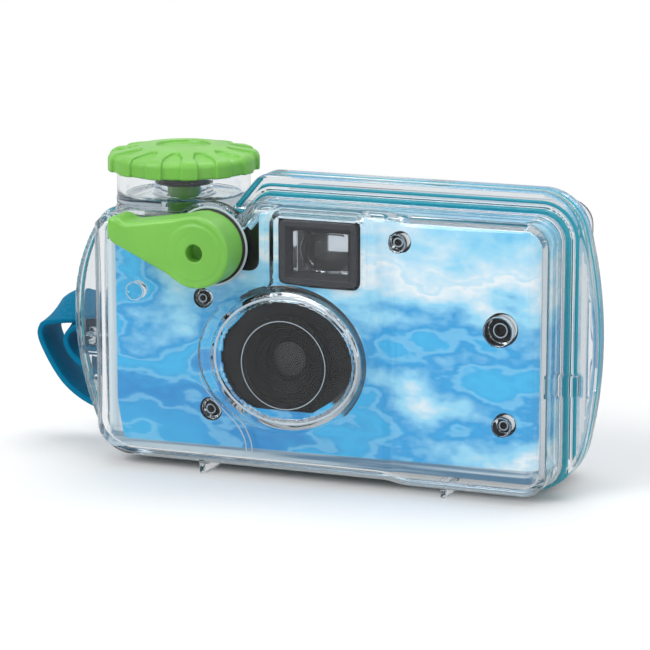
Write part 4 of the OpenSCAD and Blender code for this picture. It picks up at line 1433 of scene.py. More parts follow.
@dataclass
class FrontHalf(Moulding):
    """Front half of the clear housing: panel, bulge, finder bump, lens port, boss and posts."""

    panel_round: float = 3.0
    corner_r: float = 10.5
    edge_r: float = 6.0
    bulge_x0: float = 18.8
    bulge_y: float = -15.1
    bulge_round: float = 4.5
    bulge_fillet: float = 4.0
    bump_x: tuple[float, float] = (-11.6, 14.6)
    bump_z: tuple[float, float] = (42.0, 51.0)
    bump_y: float = -14.5
    bump_r: float = 4.0
    bump_top: float = 0.6
    bump_sink: float = 0.3
    bump_round: float = 1.0
    bump_fillet: float = 0.8
    port_base: tuple[float, float] = (-8.3, 29.6)
    port_base_size: tuple[float, float] = (21.5, 17.7)
    port_front: tuple[float, float] = (-4.6, 30.8)
    port_front_size: tuple[float, float] = (18.4, 15.9)
    port_y: float = -18.8
    port_slant: float = 0.86
    port_round: float = 1.0
    port_fillet: float = 1.2
    rim: tuple[float, float] = (17.6, 14.8)
    rim_w: float = 1.8
    rim_h: float = 0.8
    rim_round: float = 0.25
    rim_wire: float = 0.3
    window: tuple[float, float] = (-5.8, 29.4)
    window_r: float = 10.4
    # Pale ring on the window's inner face: a painted highlight line.
    window_line_r: float = 0.1
    window_line_up: float = 0.05
    peg: tuple[float, float] = (-43.8, 43.9)
    peg_r: float = 2.2
    peg_l: float = 3.0
    peg_root: float = 0.5
    peg_round: float = 0.35
    peg_fillet: float = 0.4
    peg_wire: float = 0.12
    peg_wire_in: float = 0.1
    wire_in: float = 0.12
    boss_r: float = 10.5
    boss_y: tuple[float, float] = (-0.1, 2.0)
    boss_round: float = 0.5
    boss_fillet: float = 0.6
    bore_r: float = 3.05
    bore_y: float = -9.0
    collar_r: float = 9.1
    collar_w: float = 0.3
    collar_up: float = 0.15
    washer_r: float = 3.2
    washer_t: float = 0.25
    # Paths of pale rods just inside the panel: painted highlight lines.
    highlight_line_paths: tuple[tuple[tuple[float, float], ...], ...] = (
        ((-28.6, 25.0), (-26.8, 21.0), (-21.0, 15.2), (-18.7, 12.6), (-17.2, 9.6), (-16.8, 6.6)),
        ((-19.8, 16.2), (-17.5, 13.4), (-15.8, 9.8), (-15.3, 6.6)),
    )
    ridge_r: float = 0.16
    highlight_line_in: float = 0.05
    posts: tuple[tuple[float, float, float], ...] = (
        (-28.2, 42.6, 1.8), (-26.4, 16.1, 2.2), (20.8, 59.2, 1.8), (45.1, 40.7, 3.2), (46.1, 18.7, 2.0),
    )
    post_y: float = -8.8
    post_in: float = 1.0
    post_round: float = 0.4
    post_fillet: float = 0.5
    # Pale rings inside the posts: painted highlights.
    highlight_ring_share: float = 0.5
    highlight_ring_y: float = -10.9
    highlight_ring_wire: float = 0.14
    foot_y: float = -12.0
    catch_out: float = 2.2
    catch_half: float = 2.5
    catch_y: tuple[float, float] = (-6.0, -3.5)
    catch_z: tuple[float, float] = (25.0, 30.0)
    catch_round: float = 0.5
    step: float = 0.6
    front_2d: Outline = field(init=False)

    def __post_init__(self) -> None:
        """Prepares the outlines, with the front's own corner."""
        super().__post_init__()
        self.front_2d = self.layout.body_outline(self.corner_r)

    def port(self, x: Grid, y: Grid, z: Grid) -> Distance:
        """Distance from the lens port, an oval that narrows and shifts towards the front.

        Args:
            x: Place across.
            y: Place from front to back.
            z: Height.

        Returns:
            The distance.
        """
        t = np.clip((y - self.layout.panel_y) / (self.port_y - self.layout.panel_y), 0, 1)
        a = self.port_base_size[0] + (self.port_front_size[0] - self.port_base_size[0]) * t
        b = self.port_base_size[1] + (self.port_front_size[1] - self.port_base_size[1]) * t
        cx = self.port_base[0] + (self.port_front[0] - self.port_base[0]) * t
        cz = self.port_base[1] + (self.port_front[1] - self.port_base[1]) * t
        side = oval_distance(x - cx, z - cz, a, b) * self.port_slant
        return meet(side, self.port_y - y, self.port_round)

    def outside(self, x: Grid, y: Grid, z: Grid) -> Distance:
        """Distance from the outside of the walls: panel, bulge, finder bump and lens port.

        Args:
            x: Place across.
            y: Place from front to back.
            z: Height.

        Returns:
            The distance.
        """
        lay = self.layout
        edge = self.front_2d(x, z)
        outer = meet(edge, lay.panel_y - y, self.panel_round)
        bulge = rounded_rect(x, z, self.bulge_x0, lay.body_x1, lay.body_z0, lay.body_z1, lay.body_r)
        outer = join(outer, meet(bulge, self.bulge_y - y, self.bulge_round), self.bulge_fillet)
        low, high = self.bump_z[0] - self.bump_r, lay.body_z1 - self.bump_top
        bump = rounded_rect(x, z, *self.bump_x, low, high, self.bump_r)
        rise = (self.bump_y - lay.panel_y - self.bump_sink) * step_up(z, *self.bump_z)
        fade = lay.panel_y + self.bump_sink + rise
        outer = join(outer, meet(bump, fade - y, self.bump_round), self.bump_fillet)
        outer = meet(outer, edge)
        left_edge = meet(lay.body_x0 - x, lay.panel_y - y, self.edge_r)
        outer = np.where(x < lay.body_x0 + 4 * self.edge_r, np.maximum(outer, left_edge), outer)
        return join(outer, meet(self.port(x, y, z), y + lay.seal), self.port_fillet)

    def shape(self, x: Grid, y: Grid, z: Grid) -> Distance:
        """Distance from the moulding.

        Args:
            x: Place across.
            y: Place from front to back.
            z: Height.

        Returns:
            The distance.
        """
        lay = self.layout
        outer = self.outside(x, y, z)
        solid = lay.half(outer, self.body_2d(x, z), self.flange_2d(x, z), -y)
        boss = np.hypot(x - lay.lever[0], z - lay.lever[1])
        disc = span(y, lay.panel_y + self.boss_y[0], lay.panel_y + self.boss_y[1])
        solid = join(solid, meet(boss - self.boss_r, disc, self.boss_round), self.boss_fillet)
        solid = lay.with_feet(solid, x, span(y, self.foot_y, -lay.seal), z)
        r = self.catch_round
        for side in (lay.body_x0 - self.catch_out, lay.body_x1 + self.catch_out):
            catch = meet(span(x, side - self.catch_half, side + self.catch_half), span(z, *self.catch_z), r)
            solid = join(solid, meet(catch, span(y, *self.catch_y), r), r)
        solid = cut(solid, outer + lay.wall)
        sight = oval_distance(
            x - self.port_front[0],
            z - self.port_front[1],
            self.port_front_size[0] - self.rim_w,
            self.port_front_size[1] - self.rim_w,
        )
        solid = cut(solid, meet(sight, y - self.port_y - self.rim_h), self.rim_round)
        peg = np.hypot(x - self.peg[0], z - self.peg[1]) - self.peg_r
        peg = meet(peg, span(y, lay.panel_y - self.peg_l, lay.panel_y + self.peg_root), self.peg_round)
        solid = join(solid, peg, self.peg_fillet)
        solid = cut(solid, meet(boss - self.bore_r, y - self.bore_y))
        for px, pz, r in self.posts:
            start = (self.bulge_y if px > self.bulge_x0 else lay.panel_y) + self.post_in
            post = meet(np.hypot(x - px, z - pz) - r, span(y, start, self.post_y), self.post_round)
            solid = join(solid, post, self.post_fillet)
        return meet(solid, -z)

    def trims(self) -> dict[str, Skin]:
        """Shapes the pale rings and rods that paint highlights along the moulding's edges.

        Returns:
            The shapes by name.
        """
        lay, y = self.layout, self.layout.panel_y
        window_line_y, rim_y = self.port_y + lay.wall - self.window_line_up, self.port_y + self.wire_in
        peg_y = y - self.peg_l + self.wire_in
        trims = {
            "window_groove": turned(self.window, wire(self.window_r, window_line_y, self.window_line_r)),
            "port_rim_highlight": turned(self.port_front, wire(self.rim[0], rim_y, self.rim_wire), self.rim[1]),
            "peg_rim_highlight": turned(self.peg, wire(self.peg_r - self.peg_wire_in, peg_y, self.peg_wire)),
            "boss_collar_highlight": turned(lay.lever, wire(self.collar_r, y - self.collar_up, self.collar_w)),
        }
        for number, ridge in enumerate(self.highlight_line_paths):
            path = [(px, y + self.highlight_line_in, pz) for px, pz in ridge]
            trims[f"panel_ridge_{number}"] = rod(path, self.ridge_r)
        for number, (px, pz, r) in enumerate(self.posts):
            section = wire(r * self.highlight_ring_share, self.highlight_ring_y, self.highlight_ring_wire)
            trims[f"post_core_{number}"] = turned((px, pz), section)
        return trims

    def build(self, finishes: Finishes) -> list[Piece]:
        """Builds and dresses the moulding, its trims and the washer under the lever.

        Args:
            finishes: The materials.

        Returns:
            The pieces.
        """
        lay, y = self.layout, self.layout.panel_y
        low, high = (lay.flange_x0, self.port_y, 0), (lay.flange_x1, 0, lay.flange_z1)
        skin = skin_field(self.shape, low, high, self.step)
        pieces = [make_piece("front_half", skin, Body.HOUSING, ["front_shell"])]
        dress(pieces[0], finishes[Slot.CLEAR])
        # The trims are pale opaque lines: painted highlights of the clear edges.
        for name, trim in self.trims().items():
            pieces.append(make_piece(name, trim, Body.HOUSING))
            dress(pieces[-1], finishes.painted_highlights)
        inner, outer, top = self.washer_r, self.collar_r, y - self.washer_t
        section = [(inner, y), (inner, top), (outer, top), (outer, y)]
        washer = make_piece("boss_washer", turned(lay.lever, section), Body.HOUSING)
        dress(washer, finishes[Slot.BLACK_RUBBER])
        return [*pieces, washer]


@dataclass
class RearHalf(Moulding):
    """Rear half of the clear housing: tub, knob turret, strap lugs, eyepiece frame and feet."""

    back_round: float = 4.0
    turret_r: float = 16.0
    turret_z0: float = 61.8
    turret_top: float = 69.8
    turret_floor: float = 2.0
    turret_round: float = 0.5
    turret_fillet: float = 0.5
    turret_rim: float = 0.3
    well_round: float = 0.6
    base_z: tuple[float, float] = (-5.0, 1.0)
    base_fillet: float = 0.8
    gland_r: float = 7.0
    gland_top: float = 69.2
    gland_root: float = 1.0
    gland_round: float = 0.4
    gland_fillet: float = 0.8
    bore_r: float = 4.05
    bore_round: float = 0.2
    bore_end: float = 58.0
    strap_room: float = 0.9
    lug_gap: float = 0.9
    lug_t: float = 1.6
    lug_root: float = 1.0
    lug_r: float = 1.2
    lug_round: float = 0.4
    lug_fillet: float = 0.5
    slit_r: float = 0.4
    slit_round: float = 0.2
    eyepiece_x: tuple[float, float] = (-7.6, 9.4)
    eyepiece_z: tuple[float, float] = (48.8, 60.0)
    eyepiece_y: float = 25.9
    eyepiece_r: float = 1.2
    eyepiece_root: float = 1.5
    eyepiece_round: float = 0.4
    eyepiece_fillet: float = 0.5
    eyepiece_w: float = 2.0
    sight_r: float = 0.8
    sight_round: float = 0.2
    foot_short: float = 4.0
    step: float = 0.6

    def with_eyepiece(self, solid: Distance, x: Grid, y: Grid, z: Grid) -> Distance:
        """Adds the frame round the eyepiece window.

        Args:
            solid: Distance from the moulding.
            x: Place across.
            y: Place from front to back.
            z: Height.

        Returns:
            The distance from the moulding with the frame.
        """
        back = self.layout.back_y
        eye = rounded_rect(x, z, *self.eyepiece_x, *self.eyepiece_z, self.eyepiece_r)
        eye = meet(eye, span(y, back - self.eyepiece_root, self.eyepiece_y), self.eyepiece_round)
        solid = join(solid, eye, self.eyepiece_fillet)
        sides = (self.eyepiece_x, self.eyepiece_z)
        wide, tall = ((low + self.eyepiece_w, high - self.eyepiece_w) for low, high in sides)
        sight = rounded_rect(x, z, *wide, *tall, self.sight_r)
        return cut(solid, meet(sight, back - y), self.sight_round)

    def with_lugs(self, solid: Distance, x: Grid, y: Grid, z: Grid) -> Distance:
        """Adds the two lugs that the strap is threaded through.

        Args:
            solid: Distance from the moulding.
            x: Place across.
            y: Place from front to back.
            z: Height.

        Returns:
            The distance from the moulding with the lugs.
        """
        lay, t = self.layout, self.lug_t
        x0 = lay.strap_x - self.strap_room - self.lug_gap - t
        y0, y1 = lay.strap_y[0] - self.lug_gap, lay.strap_y[1] + self.lug_gap
        for z0 in lay.lugs_z:
            loop = rounded_rect(x, y, x0, lay.body_x0 + self.lug_root, y0 - t, y1 + t, self.lug_r)
            slit = rounded_rect(x, y, x0 + t, lay.body_x0, y0, y1, self.slit_r)
            lug = cut(meet(loop, span(z, z0, z0 + lay.lug_h), self.lug_round), slit, self.slit_round)
            solid = join(solid, lug, self.lug_fillet)
        return solid

    def turret(self, away: Distance, z: Grid) -> Distance:
        """Distance from the cup under the knob and the gland that holds the knob's shaft.

        Args:
            away: Distance from the knob's axis.
            z: Height.

        Returns:
            The distance.
        """
        floor = self.turret_z0 + self.turret_floor
        cup = meet(away - self.turret_r, span(z, self.turret_z0, self.turret_top), self.turret_round)
        well = meet(away - self.turret_r + self.layout.wall, floor - z, self.well_round)
        gland = span(z, self.turret_z0 + self.gland_root, self.gland_top)
        gland = meet(away - self.gland_r, gland, self.gland_round)
        return join(cut(cup, well, self.turret_rim), gland, self.gland_fillet)

    def shape(self, x: Grid, y: Grid, z: Grid) -> Distance:
        """Distance from the moulding.

        Args:
            x: Place across.
            y: Place from front to back.
            z: Height.

        Returns:
            The distance.
        """
        lay = self.layout
        body_edge = self.body_2d(x, z)
        outer = meet(body_edge, y - lay.back_y, self.back_round)
        solid = lay.half(outer, body_edge, self.flange_2d(x, z), y)
        away = np.hypot(x - lay.cart[0], y - lay.cart[1])
        low, high = lay.body_dip + self.base_z[0], self.turret_z0 + self.base_z[1]
        base = meet(away - self.turret_r, span(z, low, high))
        solid = join(solid, meet(base, span(y, lay.seal, lay.back_y)), self.base_fillet)
        solid = self.with_eyepiece(solid, x, y, z)
        solid = lay.with_feet(solid, x, span(y, lay.seal, lay.back_y - self.foot_short), z)
        solid = self.with_lugs(solid, x, y, z)
        solid = cut(solid, outer + lay.wall)
        solid = join(solid, self.turret(away, z), self.turret_fillet)
        return meet(cut(solid, meet(away - self.bore_r, self.bore_end - z), self.bore_round), -z)

    def build(self, finishes: Finishes) -> list[Piece]:
        """Builds and dresses the moulding.

        Args:
            finishes: The materials.

        Returns:
            The pieces.
        """
        lay = self.layout
        low = (lay.flange_x0, lay.cart[1] - self.turret_r, 0)
        high = (lay.flange_x1, self.eyepiece_y, lay.flange_z1)
        skin = skin_field(self.shape, low, high, self.step)
        piece = make_piece("rear_half", skin, Body.HOUSING, ["rear_shell"])
        dress(piece, finishes[Slot.CLEAR])
        return [piece]


@dataclass
class Gasket(Moulding):
    """Flat seal between the two flanges, and the thin bead at their rim."""

    inset: float = 0.3
    seal_round: float = 0.3
    seal_thin: float = 0.7
    seal_thin_x: tuple[float, float] = (48.0, 55.0)
    bead_in: float = 0.5
    bead_y: float = 0.5
    bead_r: float = 0.4
    bead_thin: float = 0.22
    bead_thin_x: tuple[float, float] = (40.0, 55.0)
    lip: float = 2.7
    lip_in: float = 1.6
    step: float = 0.5
    bead_step: float = 0.22

    def seal(self, x: Grid, y: Grid, z: Grid) -> Distance:
        """Distance from the seal, which is narrower at the left.

        Args:
            x: Place across.
            y: Place from front to back.
            z: Height.

        Returns:
            The distance.
        """
        lay = self.layout
        edge = self.body_2d(x, z)
        out = lay.gasket_out - self.seal_thin * step_up(-x, *self.seal_thin_x)
        ring = meet(meet(-lay.gasket_in - edge, edge - out), self.flange_2d(x, z) + self.inset)
        return meet(ring, span(y, -lay.seal, lay.seal), self.seal_round)

    def bead(self, x: Grid, y: Grid, z: Grid) -> Distance:
        """Distance from the bead at the flange's rim and the lip beside the seal.

        Args:
            x: Place across.
            y: Place from front to back.
            z: Height.

        Returns:
            The distance.
        """
        rim = self.flange_2d(x, z)
        r = self.bead_r - self.bead_thin * step_up(-x, *self.bead_thin_x)
        lip = meet(np.hypot(self.body_2d(x, z) - self.lip, y) - r, rim + self.lip_in)
        return join(np.hypot(rim + self.bead_in, y - self.bead_y) - r, lip)

    def build(self, finishes: Finishes) -> list[Piece]:
        """Builds and dresses the seal and the bead.

        Args:
            finishes: The materials.

        Returns:
            The pieces.
        """
        lay = self.layout
        low, high = (lay.flange_x0, -lay.seal, 0), (lay.flange_x1, lay.seal, lay.flange_z1)
        skin = skin_field(self.seal, low, high, self.step)
        piece = make_piece("gasket", skin, Body.HOUSING, ["perimeter_gasket"])
        low = (lay.flange_x0, -self.bead_r, lay.flange_z0)
        high = (lay.flange_x1, self.bead_y + self.bead_r, lay.flange_z1)
        skin = skin_field(self.bead, low, high, self.bead_step)
        rim = make_piece("rim_bead", skin, Body.HOUSING)
        for seal in (piece, rim):
            dress(seal, finishes[Slot.SEAL])
        return [piece, rim]


@dataclass
class AdvanceKnob:
    """Winding knob with recesses that run from its crown over the edge, and its shaft."""

    layout: Layout
    r: float = 18.2
    z0: float = 70.1
    side: float = 4.0
    crown: float = 1.5
    crown_section: tuple[tuple[float, float], ...] = (
        (10.6, 0.42), (8.2, 0.12), (7.4, 0.0), (6.9, 0.0), (6.5, 0.15), (6.2, 0.75), (5.9, 0.85), (-3.0, 0.9),
    )
    shoulder: tuple[float, float] = (4.2, 0.42)
    shoulder_r: float = 2.1
    shoulder_low: float = 2.0
    shoulder_turn: float = 72.0
    recesses: int = 13
    first: float = -76.0
    recess_w: float = 4.4
    recess_in: float = 10.8
    recess_grow: tuple[float, float] = (8.0, 15.5)
    recess_deep: float = 0.75
    recess_below: float = 3.0
    recess_end: float = 0.9
    recess_foot: float = 0.35
    recess_edge: float = 0.45
    skirt_r: float = 16.6
    skirt: float = 0.6
    skirt_round: float = 0.3
    shaft_r: float = 4.0
    shaft_end: float = 57.8
    shaft_in: float = 0.8
    shaft_round: float = 0.3
    shaft_fillet: float = 0.6
    tongue: tuple[float, float] = (7.0, 2.4)
    tongue_end: float = 56.1
    tongue_in: float = 0.4
    tongue_round: float = 0.2
    lowest: float = 56.0
    step: float = 0.38
    section_2d: Outline = field(init=False)
    recess_2d: Outline = field(init=False)

    def __post_init__(self) -> None:
        """Prepares the sections of the knob and of its recesses."""
        self.section_2d = outline_field(self.profile(0.0))
        self.recess_2d = outline_field(self.profile(self.recess_below))

    def profile(self, below: float) -> np.ndarray:
        """Half section of the knob as radius and height.

        Args:
            below: How far its underside is taken down.

        Returns:
            The corners of the section.
        """
        r, under, edge = self.r, self.z0 - below, self.z0 + self.side
        inner, soft, bend = self.crown_section[-1][0], self.skirt_round, self.shoulder_r
        return np.concatenate(
            [
                [[inner, under], [self.skirt_r, under], [self.skirt_r, under - self.skirt]],
                arc((r - soft, under - self.skirt + soft), soft, -90, 0, 5),
                arc((r - bend, edge - self.shoulder_low), bend, 0, self.shoulder_turn, 10),
                [[r - self.shoulder[0], edge + self.shoulder[1]]],
                [[place, edge + self.crown - drop] for place, drop in self.crown_section],
            ]
        )

    def shape(self, x: Grid, y: Grid, z: Grid) -> Distance:
        """Distance from the knob and its shaft.

        Args:
            x: Place across.
            y: Place from front to back.
            z: Height.

        Returns:
            The distance.
        """
        cx, cy = self.layout.cart
        pitch = 2 * math.pi / self.recesses
        away = np.hypot(x - cx, y - cy)
        turn = np.arctan2(y - cy, x - cx) - math.radians(self.first)
        turn = np.abs((turn + pitch / 2) % pitch - pitch / 2)
        half_w = self.recess_w / 2 * step_up(away, *self.recess_grow)
        room = meet(turn * away - half_w, self.recess_in - away, self.recess_end)
        room = meet(room, -(self.recess_2d(away, z) + self.recess_deep), self.recess_foot)
        head = cut(self.section_2d(away, z), room, self.recess_edge)
        shaft = span(z, self.shaft_end, self.z0 + self.shaft_in)
        shaft = meet(away - self.shaft_r, shaft, self.shaft_round)
        wide, thick = self.tongue[0] / 2, self.tongue[1] / 2
        tongue = span(z, self.tongue_end, self.shaft_end + self.tongue_in)
        tongue = meet(span(x, cx - wide, cx + wide), tongue)
        tongue = meet(tongue, span(y, cy - thick, cy + thick), self.tongue_round)
        return join(join(head, shaft, self.shaft_fillet), tongue, self.tongue_round)

    def build(self, finishes: Finishes) -> list[Piece]:
        """Builds and dresses the knob.

        Args:
            finishes: The materials.

        Returns:
            The pieces.
        """
        cx, cy = self.layout.cart
        low = (cx - self.r, cy - self.r, self.lowest)
        high = (cx + self.r, cy + self.r, self.z0 + self.side + self.crown)
        skin = skin_field(self.shape, low, high, self.step)
        piece = make_piece("winding_knob", skin, Body.KNOB, ["advance_knob"])
        dress(piece, finishes[Slot.GREEN])
        return [piece]


@dataclass
class ShutterLever:
    """Rocking lever with a round hub, a horned thumb end and a stepped shaft."""

    layout: Layout
    hub_r: float = 8.4
    reach: float = 22.2
    corner: float = 1.2
    arm_fillet: float = 0.8
    y0: float = -23.0
    y1: float = -13.5
    back_round: float = 0.6
    face_round: float = 1.1
    face_drop: float = 0.3
    face_r: tuple[float, float] = (6.1, 7.0)
    ridge_r: float = 4.3
    ridge_w: float = 0.4
    ridge_h: float = 0.18
    ridge_start: tuple[float, float] = (-0.6, -0.2)
    ridge_end: tuple[float, float] = (-1.3, -0.9)
    hole_r: float = 2.05
    hole_deep: float = 4.0
    hole_round: float = 0.3
    shaft_r: float = 3.0
    shaft_y: float = -11.1
    shaft_in: float = 1.0
    shaft_round: float = 0.3
    tail_r: float = 1.8
    tail_y: float = -5.3
    tail_round: float = 0.2
    tail_fillet: float = 0.1
    head_room: float = 1.05
    step: float = 0.38
    arm_2d: Outline = field(init=False)

    def __post_init__(self) -> None:
        """Prepares the outline of the arm."""
        self.arm_2d = outline_field(self.outline())

    def outline(self) -> np.ndarray:
        """Draws the arm about its pivot.

        Returns:
            The points of its outline.
        """
        h, r = self.hub_r, self.reach
        return soften(
            [
                (-0.5, -h * 0.99), (1, h * 0.99), (-2, h * 0.97),
                (-r * 0.8, h * 0.68), (-r * 0.885, h * 0.83), (-r * 0.955, h * 0.84), (-r * 0.988, h * 0.78),
                (-r, h * 0.6), (-r, h * 0.32), (-r * 0.958, h * 0.13), (-h * 0.4, -h * 0.86),
            ],
            self.corner,
        )

    def shape(self, x: Grid, y: Grid, z: Grid) -> Distance:
        """Distance from the lever.

        Args:
            x: Place across.
            y: Place from front to back.
            z: Height.

        Returns:
            The distance.
        """
        u, v = x - self.layout.lever[0], z - self.layout.lever[1]
        away = np.hypot(u, v)
        flat = join(away - self.hub_r, self.arm_2d(u, v), self.arm_fillet)
        turn = np.arctan2(v, -u)
        ridge = np.exp(-(((away - self.ridge_r) / self.ridge_w) ** 2))
        ridge = ridge * step_up(turn, *self.ridge_start) * step_up(-turn, *self.ridge_end)
        face = self.y0 + self.face_drop * step_up(away, *self.face_r) + self.ridge_h * ridge
        block = meet(meet(flat, y - self.y1, self.back_round), face - y, self.face_round)
        hole = meet(away - self.hole_r, y - self.y0 - self.hole_deep, self.hole_round)
        block = cut(block, hole, self.hole_round)
        root = self.y1 - self.shaft_in
        shaft = meet(away - self.shaft_r, span(y, root, self.shaft_y), self.shaft_round)
        tail = meet(away - self.tail_r, span(y, root, self.tail_y), self.tail_round)
        return join(block, join(shaft, tail, self.tail_fillet), self.shaft_round)

    def build(self, finishes: Finishes) -> list[Piece]:
        """Builds and dresses the lever.

        Args:
            finishes: The materials.

        Returns:
            The pieces.
        """
        cx, cz = self.layout.lever
        low = (cx - self.reach, self.y0, cz - self.hub_r)
        high = (cx + self.hub_r, self.tail_y, cz + self.hub_r * self.head_room)
        skin = skin_field(self.shape, low, high, self.step)
        piece = make_piece("shutter_lever_grip", skin, Body.LEVER, ["shutter_lever"])
        dress(piece, finishes[Slot.GREEN])
        return [piece]


@dataclass
class WristStrap:
    """Flat rubber loop that is threaded through the two lugs and turns over on its way out.

    Its path is given by knots: the share of its reach, the lug that the knot is level with, and the
    height above the middle of that lug. Its turns are given by knot number and angle in degrees.
    """

    layout: Layout
    t: float = 1.5
    reach: float = 18.82
    round_r: float = 0.45
    round_steps: int = 4
    steps: int = 10
    probe: float = 0.02
    path: tuple[tuple[float, int, float], ...] = (
        (0, 1, 0), (0.043, 1, 3.6), (0.203, 1, 5.2), (0.492, 1, 5.4), (0.845, 1, 3.2),
        (1, 1, -1), (0.9, 0, 6.6), (0.68, 0, 0.4), (0.428, 0, -3.4), (0.16, 0, -5.4),
        (0.02, 0, -4), (0, 0, -0.4), (0.075, 0, 3.4), (0.27, 0, 3.8), (0.45, 0, 5.2),
        (0.6, 0, 8.4), (0.63, 1, -0.2), (0.46, 1, 2.7), (0.203, 1, -2.4), (0.043, 1, -3.2),
    )
    turns: tuple[tuple[float, float], ...] = (
        (0, 0), (1.4, 0), (2, 10), (3, 42), (4, 22), (4.6, 2), (5, 0),
        (15.4, 0), (16, -12), (17, -36), (18, -12), (18.6, 0), (20, 0),
    )

    def middle(self, t: np.ndarray) -> np.ndarray:
        """Points of the smooth closed curve through the knots.

        Args:
            t: Places along the curve, one unit per knot.

        Returns:
            The points as X and Z, one per row.
        """
        lay = self.layout
        level = [z + lay.lug_h / 2 for z in lay.lugs_z]
        knots = np.array([(lay.strap_x - out * self.reach, level[lug] + up) for out, lug, up in self.path])
        i = np.floor(t).astype(int)
        a, b, c, d = (np.take(knots, i + k, axis=0, mode="wrap") for k in (-1, 0, 1, 2))
        return spline(a, b, c, d, (t - i)[:, None])

    def section(self) -> np.ndarray:
        """Draws the band's section with its rounded edges.

        Returns:
            The points as width and thickness.
        """
        r, count = self.round_r, self.round_steps
        w = (self.layout.strap_y[1] - self.layout.strap_y[0]) / 2 - r
        h = self.t / 2 - r
        corners = ((w, h, 0), (-w, h, 90), (-w, -h, 180), (w, -h, 270))
        return np.concatenate([arc((u, v), r, turn, turn + 90, count) for u, v, turn in corners])

    def build(self, finishes: Finishes) -> list[Piece]:
        """Builds and dresses the loop.

        Args:
            finishes: The materials.

        Returns:
            The pieces.
        """
        n = len(self.path) * self.steps
        place = np.arange(n) / self.steps
        p = self.middle(place)
        along = self.middle(place + self.probe) - self.middle(place - self.probe)
        along /= np.linalg.norm(along, axis=1)[:, None]
        out = np.column_stack([along[:, 1], -along[:, 0]])
        bend = np.radians(np.interp(place, *np.array(self.turns, float).T))
        section = self.section()
        points = np.zeros((n, len(section), 3))
        for j, (across, thick) in enumerate(section):
            offset = across * np.sin(bend) + thick * np.cos(bend)
            points[:, j, 0] = p[:, 0] + out[:, 0] * offset
            points[:, j, 1] = sum(self.layout.strap_y) / 2 + across * np.cos(bend) - thick * np.sin(bend)
            points[:, j, 2] = p[:, 1] + out[:, 1] * offset
        piece = make_piece("wrist_loop", loft(points, True), Body.HOUSING, ["wrist_strap"])
        dress(piece, finishes[Slot.STRAP])
        return [piece]


